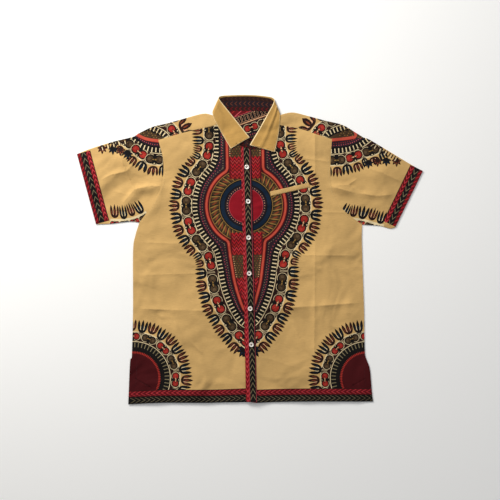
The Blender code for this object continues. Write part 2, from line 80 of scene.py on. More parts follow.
sleeveTop = {
    "right": ((-282, 293), (-295, 285), (-344, 273), (-402, 255), (-436, 241.5)),
    "left": ((286, 283), (301, 278), (339.5, 255), (407.5, 214), (435.5, 199)),
}
underarm = {
    "right": ((-278.5, 69.5), (-303, 72), (-350, 66.5), (-388, 65)),
    "left": ((282, 64), (326, 61), (353, 54), (367, 58)),
}
hem = {
    "right": ((-306.5, -388.5), (-222, -384.5), (-106, -384.5), (-10, -381)),
    "left": ((310, -381.5), (125, -381.5), (17.5, -384.5)),
}
placketEdge = {
    "right": ((-23, 262), (-20, 120), (-15, -120), (-10, -381)),
    "left": ((3, 252), (6, 120), (12, -120), (17.5, -384.5)),
}

# The collar's stand: each row is a point of the neck seam and the point above it on the upper edge
standRows = (
    (-3, 257.5, 2.7, -3.5, 280, 3.6), (-20, 263.5, 2.8, -15, 295, 4.6), (-36, 271, 3.1, -30, 314, 5.4),
    (-56, 287, 3.3, -48.5, 337, 5.8), (-71, 304, 3.5, -63, 355.5, 5.6), (-78, 316, 3.6, -71.5, 367, 4.9),
    (-83, 328, 3.6, -75.5, 374.5, 4.2), (-86, 338, 3.6, -77, 380, 3.4), (-81, 345.5, 2.7, -74, 382.5, 2.9),
    (-68, 348.5, 2.1, -65.5, 385, 2.7), (-40, 350, 2.1, -40, 386.6, 2.7), (-12, 350, 2.1, -12, 387, 2.7),
    (18, 350, 2.1, 18, 386, 2.7), (46, 348.5, 2.1, 47, 382.3, 2.7), (61, 345.5, 2.7, 55.5, 378.5, 2.9),
    (66, 338, 3.6, 59.5, 375, 3.4), (65, 328, 3.6, 58.5, 368, 4.2), (62, 317, 3.6, 55.5, 360, 4.9),
    (55, 303, 3.5, 48.5, 345, 5.6), (44.5, 285, 3.8, 39, 326.5, 5.9), (32, 268, 4.3, 27, 304.5, 6.1),
    (19, 256.5, 4.6, 14, 282.5, 6.0), (4, 253, 4.6, 1.5, 264.5, 5.8), (-8, 257.5, 4.6, -3.5, 277, 5.6),
    (-18, 261.5, 4.6, -11, 282, 5.5),
)
# The collar's fall: each row is a point of the fold and the point below it on the outer edge
fallRows = (
    (-2.3, 282.5, 7.6, -48.5, 255.5, 5.4), (-14.5, 297.5, 8.0, -57.5, 270.5, 5.3),
    (-29.5, 316.5, 8.2, -68.5, 289.5, 5.3), (-47.5, 339, 8.3, -79.5, 309, 5.3),
    (-62, 357, 7.9, -87.5, 323, 5.4), (-71, 368.5, 7.0, -91, 332, 5.4), (-76.5, 376, 6.2, -93.5, 341, 5.6),
    (-79.5, 381.5, 3.9, -94.5, 348, 2.9), (-76.5, 386, 2.3, -91, 345, 0.6), (-66, 388.4, 1.9, -78, 336, 0.6),
    (-40, 389.7, 1.8, -44, 332, 0.6), (-12, 390.1, 1.8, -12, 331, 0.6), (18, 389.1, 1.8, 21, 332, 0.6),
    (47.5, 385.4, 1.9, 57, 335, 0.6), (58, 382, 2.3, 71, 343, 0.6), (62, 376.5, 3.9, 75, 345.5, 2.9),
    (60, 369, 6.2, 75.5, 337.5, 5.6), (56.5, 361, 7.0, 75, 323, 5.4), (48, 345.5, 7.9, 73.5, 308, 5.5),
    (37.5, 326.5, 8.4, 71.5, 292, 5.6), (25.5, 304.5, 8.6, 68.5, 275, 5.8), (12.5, 283, 8.4, 65, 259.5, 6.0),
    (1, 263.5, 8.0, 62, 247, 6.2),
)
neckSides = {"right": (5, 7), "left": (17, 15)}  # rows of the stand where the yoke seam and the fold meet it

# Broad folds of the front layer: from, to, width, height
folds = (
    ((163, 330), (163, -350), 44, 1.2),
    ((10, -151), (287, -135), 60, 2.0),
    ((-290, -149), (-25, -154), 60, 1.6),
    ((40, -13), (277, -13), 56, 1.2),
    ((-205, -160), (-118, -262), 80, 2.0),
    ((110, -195), (160, -270), 76, 2.0),
    ((-330, 242), (-290, 152), 52, 1.3),
    ((-310, 197), (-363, 186), 46, 0.15),
    ((-221, 152), (-252, 90), 34, 2.0),
    ((-310, 197), (-227, 171), 46, 1.0),
    ((-284, 152), (-226, 158), 40, 5.0),
    ((-281, 149), (-316, 113), 36, 3.0),
    ((-290, 106), (-244, 138), 50, -1.5),
    ((297, 204), (375, 174), 54, 2.0),
    ((272, 141), (353, 139), 54, 2.0),
    ((203, 160), (264, 143), 40, 5.0),
    ((212, 134), (258, 108), 50, -1.5),
    ((-112, -331), (-40, -338), 34, 1.6),
    ((42, -262), (90, -315), 44, 1.6),
    ((-170, -232), (-112, -190), 44, 1.8),
    ((-290, -205), (-215, -240), 50, 1.2),
)
# Pressed and crushed lines, each a narrow ridge: from, to, half width, height
creases = (
    ((163, 326), (164, 60), 2.2, 0.55),
    ((164, 60), (161, -345), 2.2, 0.5),
    ((18, -150), (160, -141), 3.0, 0.9),
    ((160, -141), (286, -132), 3.2, 1.0),
    ((-292, -147), (-160, -152), 3.0, 0.7),
    ((-160, -152), (-30, -155), 3.0, 0.6),
    ((60, -12), (280, -14), 2.6, 0.55),
    ((150, 96), (282, 93), 2.4, 0.4),
    ((-288, 20), (-120, 14), 2.6, 0.35),
    ((-290, -64), (-110, -58), 2.6, 0.35),
    ((128, 232), (200, 222), 2.4, 0.6),
    ((-330, 242), (-311, 198), 2.8, 1.2),
    ((-311, 198), (-291, 152), 2.8, 1.3),
    ((-311, 198), (-352, 189), 3.0, 1.1),
    ((-352, 189), (-372, 178), 2.6, 0.7),
    ((-311, 198), (-296, 214), 2.2, 0.7),
    ((-291, 152), (-254, 161), 3.0, 1.2),
    ((-254, 161), (-228, 160), 2.6, 1.0),
    ((-291, 152), (-318, 120), 2.6, 0.7),
    ((-345, 148), (-300, 138), 3.4, 0.5),
    ((297, 206), (338, 192), 2.8, 1.1),
    ((338, 192), (376, 173), 2.8, 1.0),
    ((272, 143), (318, 136), 3.0, 1.1),
    ((318, 136), (356, 139), 3.0, 1.0),
    ((214, 162), (246, 163), 2.6, 0.9),
    ((246, 163), (268, 178), 2.2, 0.7),
    ((246, 163), (262, 152), 2.2, 0.7),
    ((208, 196), (226, 214), 2.4, 0.8),
    ((205, 160), (262, 144), 2.6, 1.0),
    ((-150, -230), (-118, -262), 3.0, 0.8),
    ((-205, -160), (-180, -196), 3.0, 0.6),
    ((112, -200), (140, -244), 3.0, 0.9),
    ((140, -244), (157, -268), 2.6, 0.7),
    ((-255, -210), (-225, -285), 3.4, 0.5),
    ((200, -190), (262, -205), 3.4, 0.5),
    ((36, -270), (120, -296), 3.4, 0.4),
)

# Inks of the print, as they dry on the pale ground, and a pale painted highlight for the collar's turned
# edges
ink = {
    "ground": "#C9A367",
    "leaf": "#BA9150",
    "cream": "#DCC79C",
    "crimson": "#86091A",
    "corner": "#43050A",
    "orange": "#BC4C39",
    "rust": "#98241C",
    "navy": "#0A1D31",
    "black": "#0B0808",
    "brown": "#42301D",
    "purple": "#2A1822",
    "darkRed": "#5E0710",
    "chevronRed": "#B01C24",
    "rose": "#B8484E",
    "gold": "#8E6C36",
    "olive": "#7E7254",
    "blush": "#DFA87C",
    "bark": "#26100B",
    "clay": "#7E3A20",
    # a painted highlight: the collar's turned edges drawn paler, where the folded cloth would catch the light
    "paintedEdgeHighlight": "#E6CC9C",
    "plum": "#1D1118",
    "cocoa": "#3B2018",
    "ember": "#AC3529",
    "umber": "#5C4933",
}


def hexToLinear(code):
    channels = [int(code[place:place + 2], 16) / 255 for place in (1, 3, 5)]
    return tuple(c / 12.92 if c <= 0.04045 else ((c + 0.055) / 1.055) ** 2.4 for c in channels) + (1.0,)


def smoothStep(value):
    held = np.clip(value, 0.0, 1.0)
    return held * held * (3 - 2 * held)


def smoothCurve(rows, steps=8):
    # a smooth curve through the rows, steps points to each stretch
    rows = np.array(rows, dtype=float)
    padded = np.vstack([2 * rows[0] - rows[1], rows, 2 * rows[-1] - rows[-2]])
    t = (np.arange(steps) / steps)[:, None]
    parts = []
    for a, b, c, d in zip(padded, padded[1:], padded[2:], padded[3:]):
        parts.append(0.5 * (2 * b + (c - a) * t + (2 * a - 5 * b + 4 * c - d) * t ** 2
                            + (3 * b - a - 3 * c + d) * t ** 3))
    return np.vstack(parts + [rows[-1:]])


def lengthsAlong(points):
    return np.concatenate([[0.0], np.cumsum(np.linalg.norm(np.diff(points, axis=0), axis=1))])


def evenPoints(points, count):
    lengths = lengthsAlong(points)
    wanted = np.linspace(0.0, lengths[-1], count + 1)
    return np.stack([np.interp(wanted, lengths, points[:, k]) for k in range(points.shape[1])], axis=1)


def evenCurve(rows, spacing=5.0):
    points = smoothCurve(rows)
    return evenPoints(points, max(2, round(lengthsAlong(points)[-1] / spacing)))


def headings(points):
    # the unit direction along a line at each of its points, and the one to its left
    ahead = np.gradient(points, axis=0)
    ahead /= np.linalg.norm(ahead, axis=1)[:, None]
    return ahead, np.stack([-ahead[:, 1], ahead[:, 0]], axis=1)


def axesAlong(start, end):
    along = np.subtract(end, start).astype(float)
    along /= np.linalg.norm(along)
    return along, np.array([-along[1], along[0]])


def chainDistance(points, chain):
    # distance from each point to the nearest stretch of a chain
    best = np.full(len(points), 1e9)
    for start, end in zip(chain[:-1], chain[1:]):
        best = np.minimum(best, segmentDistance(points, start, end)[0])
    return best


def ringDistance(points, outline):
    return chainDistance(points, np.vstack([outline, outline[:1]]))


def segmentDistance(points, start, end):
    along = np.subtract(end, start).astype(float)
    share = np.clip((points - start) @ along / (along @ along), 0.0, 1.0)
    return np.linalg.norm(points - start - share[:, None] * along, axis=1), share


def insidePolygon(points, polygon):
    inside = np.zeros(len(points), dtype=bool)
    x, y = points[:, 0], points[:, 1]
    for (x0, y0), (x1, y1) in zip(polygon, np.roll(polygon, -1, axis=0)):
        if y0 == y1:
            continue
        crosses = (y0 > y) != (y1 > y)
        inside ^= crosses & (x < (x1 - x0) * (y - y0) / (y1 - y0) + x0)
    return inside


outlines = [np.vstack([smoothCurve(shoulder[side])[::-1], smoothCurve(sleeveTop[side]),
                       smoothCurve(underarm[side])[::-1], smoothCurve(sideSeam[side])])
            for side in ("right", "left")]


# Heights of the layers, as the solids have them, with the creases added

def edgeFade(points):
    nearest = np.minimum(chainDistance(points, outlines[0][::3]), chainDistance(points, outlines[1][::3]))
    return smoothStep(nearest / cloth["puffEdge"])


def foldHeight(points):
    total = np.zeros(len(points))
    for start, end, width, height in folds:
        distance, share = segmentDistance(points, start, end)
        taper = 0.35 + 0.65 * np.sin(math.pi * share)
        total += height * taper * (1 - smoothStep(2 * distance / width))
    return cloth["foldRise"] * total


def creaseHeight(points):
    # a crushed ridge has a sharp top and hollow flanks
    total = np.zeros(len(points))
    for start, end, halfWidth, height in creases:
        distance, share = segmentDistance(points, start, end)
        taper = np.minimum(1.0, 0.35 + 3.0 * np.minimum(share, 1 - share))
        total += height * taper * np.exp(-np.abs(distance) / halfWidth)
        total -= 0.35 * height * taper * np.exp(-((distance - 4 * halfWidth) / (2 * halfWidth)) ** 2)
    return cloth["creaseRise"] * total


def awayFromCollar(points):
    # 0 under the collar, where the leaves lie close, and 1 from a hand's width off
    dx = np.maximum(0.0, np.abs(points[:, 0] + 8) - 88)
    dy = np.maximum(0.0, 240 - points[:, 1])
    return smoothStep(np.hypot(dx, dy) / 45)


def handling(points):
    # slow uneven swells left by handling, the same each run
    x, y = points[:, 0], points[:, 1]
    swell = (0.34 * np.sin(x / 31 + 1.3 * np.sin(y / 57)) * np.sin(y / 43 + 0.7 * np.sin(x / 71))
             + 0.16 * np.sin(x / 13.0 + y / 29 + 2 * np.sin(y / 37)) * np.sin(y / 17.0 - x / 41))
    return swell + awayFromCollar(points) * (0.9 + 2.0 * swell)


def neckLift(points):
    dx = np.maximum(0.0, np.abs(points[:, 0] + 10) - 92)
    dy = np.maximum(0.0, np.abs(points[:, 1] - 342) - 18)
    return cloth["layer"] * (1 - smoothStep(np.hypot(dx, dy) / 32))


def backLayer(points):
    return cloth["backHeight"] + neckLift(points)


def frontLayer(points):
    fade = edgeFade(points)
    rise = cloth["puff"] + foldHeight(points) + creaseHeight(points) + handling(points)
    return cloth["backHeight"] + cloth["layer"] + neckLift(points) + fade * np.maximum(0.0, rise)


def upperFrontLayer(points):
    edge = np.array(placketEdge["left"])[::-1]
    lapX = np.interp(points[:, 1], edge[:, 1], edge[:, 0])
    beside = smoothStep((points[:, 0] - lapX) / cloth["lapEase"])
    return frontLayer(points) + cloth["layer"] * (1 - beside)


def placketLayer(points):
    return upperFrontLayer(points) + cloth["layer"]


upperLayers = {"right": frontLayer, "left": upperFrontLayer}


# The print. Every motif is one closed outline in one ink, and later ones lie over earlier ones.

def ring(centre, radius, count=48, start=0.0):
    angles = start + np.arange(count) * math.tau / count
    return np.stack([centre[0] + radius * np.cos(angles), centre[1] + radius * np.sin(angles)], axis=1)


def makeTrack(points, outward, spacing=2.0):
    # a line that motifs are set along; outward is +1 for its left-hand side, -1 for its right
    points = np.asarray(points, dtype=float)
    points = evenPoints(points, max(4, round(lengthsAlong(points)[-1] / spacing)))
    ahead, left = headings(points)
    normals = outward * left
    for _ in range(4):  # so that motifs don't jump round a tight corner
        normals[1:-1] = (normals[:-2] + normals[1:-1] + normals[2:]) / 3
        normals /= np.linalg.norm(normals, axis=1)[:, None]
    lengths = lengthsAlong(points)
    run = 80.0  # straight on past both ends, for the motifs that overhang them
    return {
        "length": lengths[-1],
        "points": np.vstack([points[:1] - run * ahead[:1], points, points[-1:] + run * ahead[-1:]]),
        "normals": np.vstack([normals[:1], normals, normals[-1:]]),
        "lengths": np.concatenate([[-run], lengths, [lengths[-1] + run]]),
    }


def onTrack(track, along, out):
    # the place that is so far along the line and so far out from it
    along = np.asarray(along, dtype=float)
    out = np.broadcast_to(np.asarray(out, dtype=float), along.shape)
    place = [np.interp(along, track["lengths"], track["points"][:, k])
             + out * np.interp(along, track["lengths"], track["normals"][:, k]) for k in (0, 1)]
    return np.stack(place, axis=-1)


def placesAlong(track, pitch, start=0.0, end=None):
    # the middles of a whole number of repeats
    end = track["length"] if end is None else end
    count = max(1, round((end - start) / pitch))
    return start + (np.arange(count) + 0.5) * (end - start) / count


def band(track, inner, outer, colour):
    # a stripe that follows the line between two distances from it
    spacing = 4.0  # of its points
    along = np.linspace(0.0, track["length"], max(2, round(track["length"] / spacing)) + 1)
    return [(colour, np.vstack([onTrack(track, along, inner), onTrack(track, along[::-1], outer)]))]


def placed(track, colour, shape, along=0.0, out=0.0):
    # a motif whose outline is given from a place on the track
    shape = np.asarray(shape, dtype=float)
    return (colour, onTrack(track, along + shape[:, 0], out + shape[:, 1]))


def peg(track, along, out, length, width, colour):
    # a short bar with round ends and a slight waist
    half = ((-1, -0.4), (-0.84, -0.95), (0, -0.8), (0.84, -0.95), (1, -0.4))
    shape = np.array([(b, a) for a, b in half] + [(-b, a) for a, b in reversed(half)])
    return placed(track, colour, shape * [width / 2, length / 2], along, out)


def pegRow(track, pitch, out=0.0, length=19.0, width=6.2, start=0.0, end=None, colour="black"):
    return [peg(track, along, out, length, width, colour) for along in placesAlong(track, pitch, start, end)]


def comb(track, pitch, dash=3.0, colour="cream"):
    # a dark stripe crossed by pale dashes, so that dark pegs stand between them, with a pale line outside
    return (band(track, -9, 9.9, "cream") + band(track, -9, 8.1, "black")
            + pegRow(track, pitch, 0.8, 12.0, dash, colour=colour))


def dotRow(track, pitch, out, radius, colour):
    return [(colour, ring(onTrack(track, along, out), radius, 6)) for along in placesAlong(track, pitch)]


def bud(track, along, out, radius, toward, colour):
    # a round bud with a dark rim, a lighter patch with veins, and a pale notch turned to its partner
    rim, patch, notch = ("black", "umber", "gold") if colour == "brown" else ("bark", "ember", "blush")
    parts = [(rim, ring((0, 0), 1.0, 18)), (colour, ring((-0.04, 0), 0.7, 16)),
             (patch, ring((-0.26, -0.02), 0.32, 9))]
    parts += [(colour, [(-0.66, low), (0.1, low + 0.02), (0.1, high - 0.1), (-0.66, low + 0.14)])
              for low, high in ((-0.62, -0.36), (-0.12, -0.02), (0.34, 0.42))]
    parts += [("black", [(0.0, 0.08), (1.0, 0.5), (1.08, -0.3)]),
              (notch, [(0.25, 0.06), (0.9, 0.2), (0.86, -0.16)])]
    return [placed(track, shade, np.asarray(shape) * radius * [toward, 1], along, out)
            for shade, shape in parts]


def budPair(track, along, out, radius, colour):
    # two buds whose notches face, with a dark seed between them
    gap = 0.92 * radius
    halo = radius + 1.1
    motifs = [placed(track, "cream", ring((along + side * gap, out), halo, 18)) for side in (-1, 1)]
    for side in (-1, 1):
        motifs += bud(track, along + side * gap, out, radius, -side, colour)
    seed = np.array([(0, 1.12), (0.42, 0.86), (0.2, 0.3), (0, 0.1), (-0.2, 0.3), (-0.42, 0.86)]) * radius
    speck = np.array([(0, 1.0), (0.16, 0.86), (0, 0.66), (-0.16, 0.86)]) * radius
    return motifs + [placed(track, shade, shape, along, out)
                     for shade, shape in (("black", seed * [1, -1]), ("black", seed), ("cream", speck))]


def prong(track, root, tip, width, colour, spindle=False):
    # a tapered prong from its root to its tip, each (along, out); a spindle is thin at the root too
    root = np.array(root, dtype=float)
    across = axesAlong(root, tip)[1]
    shares = np.array([0.0, 0.18, 0.45, 0.75, 1.0])
    widths = width / 2 * np.array([0.3 if spindle else 0.8, 0.92, 1.0, 0.72, 0.06])
    middle = root + (tip - root) * shares[:, None]
    return placed(track, colour, np.vstack([middle + across * widths[:, None],
                                            (middle - across * widths[:, None])[::-1]]))


def trident(track, along, base, tip, pitch, dark, lean=0.0):
    # a fork: a round crown, two outer prongs and a spindle in the middle; the clay ones start further out
    navy = dark == "navy"
    if not navy:
        base += 3.5
        tip += 1.5
    outer, core, fill = ("black", "navy", "cream") if navy else ("bark", "clay", "blush")
    arm = 0.33 * pitch
    reach = tip - base
    crown = base + 0.3 * reach
    angles = np.linspace(0, math.pi, 9)

    def arch(wide, deep):
        return np.stack([along - arm * wide * np.cos(angles),
                         crown - (crown - base) * deep * np.sin(angles)], axis=1)

    bowl = arch(1.26, 1)
    pale = [(along + side * arm * 1.05 + lean * 0.5, base + 0.56 * reach) for side in (1, -1)]
    motifs = [placed(track, fill, np.vstack([bowl, pale])),
              placed(track, outer, np.vstack([bowl, arch(0.6, 0.3)[::-1]]))]
    # where each prong starts and ends, to the side in arms and then outward, and its width
    for side in (-1, 1):
        for colour, low, rootOut, high, tipOut, width in (
                (outer, 0.98, crown - 0.04 * reach, 1.12, tip, 0.27),
                (core, 1.0, crown - 0.02 * reach, 1.08, base + 0.7 * reach, 0.05)):
            root = (along + side * low * arm, rootOut)
            end = (along + side * high * arm + lean, tipOut)
            motifs.append(prong(track, root, end, width * pitch, colour))
    for colour, rootOut, tipOut, width in ((outer, crown - 0.16 * reach, tip + 0.06 * reach, 0.29),
                                           (core, crown, base + 0.74 * reach, 0.07)):
        motifs.append(prong(track, (along, rootOut), (along + lean, tipOut), width * pitch, colour, True))
    return motifs


def stem(track, along, inner, outer):
    # a thin stalk with a leaf on each side of its inner half
    width = 2.4
    middle = (inner + outer) / 2
    shape = np.array([(-width, inner), (width, inner), (0.5 * width, middle),
                      (0.8 * width, outer), (-0.8 * width, outer), (-0.5 * width, middle)])
    leaf = np.array([(0.4, inner + 1), (3.9, inner - 0.5), (4.4, inner + 3.5), (1.0, inner + 9)])
    parts = (("cream", shape, 1.1), ("bark", shape, 0.6), ("bark", leaf, -1), ("bark", leaf, 1))
    return [placed(track, colour, part * [share, 1], along) for colour, part, share in parts]


def fringe(track, places, radius, crown, tip, first=0, inks=("rust", "brown")):
    # bud pairs with forks outside them: a dark fork at each pair's end, a clay one at its middle
    motifs = []
    for k, (along, gap) in enumerate(zip(places, np.gradient(places))):
        number = k + first
        if number % 2:
            motifs += budPair(track, along, 0.0, radius, inks[(abs(number) // 2) % 2])
        else:
            motifs += stem(track, along, -1.3 * radius, crown + 1)
        reach = tip if np.isscalar(tip) else float(np.interp(along, tip[0], tip[1]))
        if reach > crown:
            motifs += trident(track, along, crown, reach, gap, "clay" if number % 2 else "navy")
    return motifs


def chevronRow(track, inner, outer, pitch, point, width, colour, steep=0.62):
    # arrowheads along a stripe, pointing along it for 1 and back for -1
    middle = (inner + outer) / 2
    depth = steep * (outer - inner) * point
    shape = [(0, inner), (depth, middle), (0, outer), (-width * point, outer),
             (depth - width * point, middle), (-width * point, inner)]
    return [placed(track, colour, shape, along) for along in placesAlong(track, pitch)]


def palm(centre, size, colour, turn=0.0):
    # a small leaf of five fingers, pointing to the cuff and down
    motifs = []
    rim = "black" if colour == "navy" else "bark"
    for k, reach in enumerate((0.85, 1.0, 1.15, 1.0, 0.85)):
        angle = math.radians(-90 + (k - 2) * 42) + turn
        finger = (math.cos(angle) * size * 1.5, math.sin(angle) * size * 1.5)
        track = makeTrack([centre, np.add(centre, finger)], 1)
        motifs.append(prong(track, (0, 0), (reach * size, 0), 0.46 * size, rim))
        motifs.append(prong(track, (0, 0), (0.7 * reach * size, 0), 0.2 * size, colour))
    motifs.append((rim, ring(centre, 0.42 * size, 8)))
    return motifs


# The big ornament round the front opening: a disc in rings, inside a keyhole outline with a long tail
ornament = {
    "centre": (-10.1, 111.6),
    "lean": 0.0203,             # the whole stands a little off upright, as the front is laid
    "top": 226.0,
    # the orange line, the comb and the buds: beside the column, round the rings and down the tail
    "line": {"halfWidth": 45.0, "radius": 99.5, "fillet": 14, "tailHalfWidth": 45.0,
             "tail": ((42, -126), (37.5, -158), (33, -188), (24.5, -222), (12.5, -257), (0, -275))},
    "pegs": {"halfWidth": 71.0, "radius": 128.0, "fillet": 72, "tailHalfWidth": 69,
             "tail": ((66, -156), (61, -190), (52, -224), (37.5, -259), (19.5, -288), (0, -303))},
    "buds": {"halfWidth": 89.0, "radius": 150.5, "fillet": 92, "tailHalfWidth": 90,
             "tail": ((88.5, -178), (85, -204), (78, -236), (64, -268), (43, -302), (22, -329), (0, -350))},
    "pegPitch": 9.5,
    # how far from the bottom tip, along the fringe, each pair's middle is; the straights have them closer
    "pairs": (22, 74, 126.5, 181, 240, 293, 342, 394, 443, 496, 546, 598),
    "bud": 12.4,            # radius of one bud
    "hollows": (256, 520),  # where the forks are drawn in, also from the tip
}


def ornamentPlace(points):
    # from the ornament's own axes to the shirt's
    points = np.asarray(points, dtype=float)
    cosine = math.cos(ornament["lean"])
    sine = math.sin(ornament["lean"])
    x = points[:, 0] * cosine - points[:, 1] * sine
    y = points[:, 0] * sine + points[:, 1] * cosine
    return np.stack([x + ornament["centre"][0], y + ornament["centre"][1]], axis=1)


def keyhole(halfWidth, radius, fillet, tailHalfWidth, tail):
    # the outline: down beside the column, round the disc, along the tail to its tip, and back up
    points = [(halfWidth, ornament["top"]), (halfWidth, ornament["top"] - 30)]
    up = math.sqrt((radius + fillet) ** 2 - (halfWidth + fillet) ** 2)
    down = math.sqrt((radius + fillet) ** 2 - (tailHalfWidth + fillet) ** 2)
    upAngle = math.atan2(up, halfWidth + fillet)
    downAngle = math.atan2(down, tailHalfWidth + fillet)
    for share in np.linspace(0, 1, 8):
        angle = math.pi + upAngle * share
        points.append((halfWidth + fillet + fillet * math.cos(angle), up + fillet * math.sin(angle)))
    for angle in np.linspace(upAngle, -downAngle, 42)[1:-1]:
        points.append((radius * math.cos(angle), radius * math.sin(angle)))
    for share in np.linspace(1, 0, 8):
        angle = math.pi - downAngle * share
        points.append((tailHalfWidth + fillet + fillet * math.cos(angle), -down + fillet * math.sin(angle)))
    half = np.vstack([points, smoothCurve([points[-1]] + list(tail), 6)[1:]])
    return np.vstack([half, half[::-1][1:] * [-1, 1]]) * [-1, 1]


def filled(track, out, colour, count=220, beyond=None):
    # everything inside the line moved out by so much, closed round the points beyond its ends
    shape = onTrack(track, np.linspace(0, track["length"], count), out)
    return (colour, shape if beyond is None else np.vstack([shape, beyond]))


def blockWidth(b):
    # half width between the orange lines at a height of the ornament
    tail = np.array([(45, 400), (45, -89)] + list(ornament["line"]["tail"]))[::-1]
    return np.interp(b, tail[:, 1], tail[:, 0]) - 4.5


def blockOutline(heights):
    # the column between the orange lines, through these heights and back
    left = [(-blockWidth(b), b) for b in heights]
    return ornamentPlace(left + [(-a, b) for a, b in reversed(left)])


def zigzagBlock(low, high):
    # rows of red zigzags on dark red, as woven ribbon has them
    motifs = [("darkRed", blockOutline((low, (low + high) / 2, high)))]
    rise, stretch, height, stroke = 8.8, 5.2, 8.4, 4.2
    rows = int((high - low) / rise)
    for row in range(rows):
        b = low + (row + 0.12) * (high - low) / rows
        count = max(1, int(float(blockWidth(b + 4)) / stretch))
        steps = np.arange(-count, count + 1)
        zig = b + height * (steps % 2)
        upper = np.stack([steps * stretch, zig + stroke / 2], axis=1)
        lower = np.stack([steps * stretch, zig - stroke / 2], axis=1)
        motifs.append(("chevronRed" if row % 2 else "rust", ornamentPlace(np.vstack([upper, lower[::-1]]))))
        thin = np.vstack([upper - [0, 0.4], (lower + [0, 2.6])[::-1]])
        motifs.append(("rose" if row % 3 == 1 else "chevronRed", ornamentPlace(thin)))
    return motifs


def dottedBlock(low, high):
    # brown ground with a net of gold dots, pale ones along its sides
    motifs = [("brown", blockOutline((low, high)))]
    rise, stretch = 5.6, 7.0
    for row in range(int((high - low) / rise)):
        b = low + 3.4 + row * rise
        half = float(blockWidth(b)) - 2.5
        for a in np.arange(-half, half, stretch) + (stretch / 2 if row % 2 else 0.0):
            motifs.append(("gold" if (row + int(a)) % 3 else "rust", ornamentPlace(ring((a, b), 1.1, 5))))
        for a in (-half, half):
            motifs.append(("blush", ornamentPlace(ring((a, b), 1.25, 5))))
    return motifs


def ornamentPrint():
    line, pegs, buds = [makeTrack(ornamentPlace(keyhole(**ornament[row])), -1)
                        for row in ("line", "pegs", "buds")]
    middle = buds["length"] / 2
    near = np.concatenate([[h - 52, h - 18, h + 18, h + 52] for h in ornament["hollows"]])
    reach = np.tile((42.5, 36.0, 36.0, 42.5), len(ornament["hollows"]))
    tipAlong = middle + np.array([-40, -8, 0, 8, 40])
    tipReach = (np.concatenate([(middle - near)[::-1], tipAlong, middle + near]),
                np.concatenate([reach[::-1], [42, 42, 0, 42, 42], reach]))
    pairs = np.array(ornament["pairs"], dtype=float)
    half = np.sort(np.concatenate([pairs, (pairs[1:] + pairs[:-1]) / 2, pairs[-1:] + 22]))
    places = np.concatenate([middle - half[::-1], [middle], middle + half])
    motifs = [("black", ornamentPlace([(-21, -335), (21, -335), (17, -380), (-17, -380)]))]
    for side in (-1, 1):
        motifs += palm(ornamentPlace([(13 * side, -362)])[0], 19.0, "navy", 0.55 * side)
    motifs += [filled(buds, 14.4, "cream"), filled(buds, 12.4, "bark")] + comb(pegs, ornament["pegPitch"])
    motifs.append(filled(pegs, -9, "purple"))
    motifs += dotRow(pegs, 6.8, -12.6, 1.2, "rose") + dotRow(line, 6.4, 10.8, 1.2, "olive")
    motifs += fringe(buds, places, ornament["bud"], 12.8, tipReach, first=-len(half))
    for out, colour in ((7.0, "black"), (5.2, "darkRed"), (2.7, "orange"), (-2.2, "rust"), (-3.6, "bark")):
        motifs.append(filled(line, out, colour))
    return (motifs + combRing() + dottedBlock(123, 230) + zigzagBlock(68, 123) + zigzagBlock(-124, -68)
            + dottedBlock(-182, -124) + zigzagBlock(-262, -182) + discRings())


def combRing():
    # slanting brown bars between two gold lines; the red blocks cut it above and below
    centre = ornamentPlace([(0, 0)])[0]
    motifs = [(colour, ring(centre, radius, 72))
              for radius, colour in ((94.5, "darkRed"), (92.5, "gold"), (91.0, "black"))]
    count = 40
    radius = 79.5  # of the bars' middles
    bars = ((0.0, 7.4, "brown", 21.0), (0.8, 2.4, "clay", 11.0), (-4.4, 1.7, "gold", 21.0))
    for k in range(count):
        for offset, width, colour, length in bars:
            shape = np.array([(-width / 2 - 4.2, -length / 2), (width / 2 - 4.2, -length / 2),
                              (width / 2 + 1.2, 0), (width / 2 + 3.4, length / 2),
                              (-width / 2 + 3.4, length / 2), (-width / 2 - 1.2, 0)])
            angle = (k + 0.5) * math.tau / count + (offset + shape[:, 0]) / radius
            reach = radius + shape[:, 1]
            turned = np.stack([reach * np.cos(angle), reach * np.sin(angle)], axis=1)
            motifs.append((colour, centre + turned))
    return motifs


def discRings():
    # the navy ring, the ring of pale dots and the crimson disc
    centre = ornamentPlace([(0, 0)])[0]
    motifs = [(colour, ring(centre, radius, 64))
              for radius, colour in ((68.0, "gold"), (66.5, "black"), (63.6, "navy"), (54.0, "black"),
                                     (51.0, "purple"))]
    motifs += [("blush", ring(place, 1.0, 6)) for place in ring(centre, 47.3, 46)]
    return motifs + [("rose", ring(centre, 43.4, 56)), ("crimson", ring(centre, 42.4, 56))]


# The quarter rosette in each lower corner and the border along the hem
corner = {
    "centre": {"right": (-292, -322), "left": (293.5, -322)},
    "ticks": 64.0, "line": 66.0, "pegs": 82.5, "buds": 105.0,  # radii
    "pegPitch": 8.6, "bud": 9.8, "crown": 9.5, "tip": 41.0,
    "turns": (101, 92, 80.5, 69, 57, 45.5, 34, 22.3, 10, -2.5, -14),  # degrees of forks and pairs in turn
}
border = {"black": 17.5, "red": 33.0, "pitch": 12.6}  # how far up from the hem each row reaches


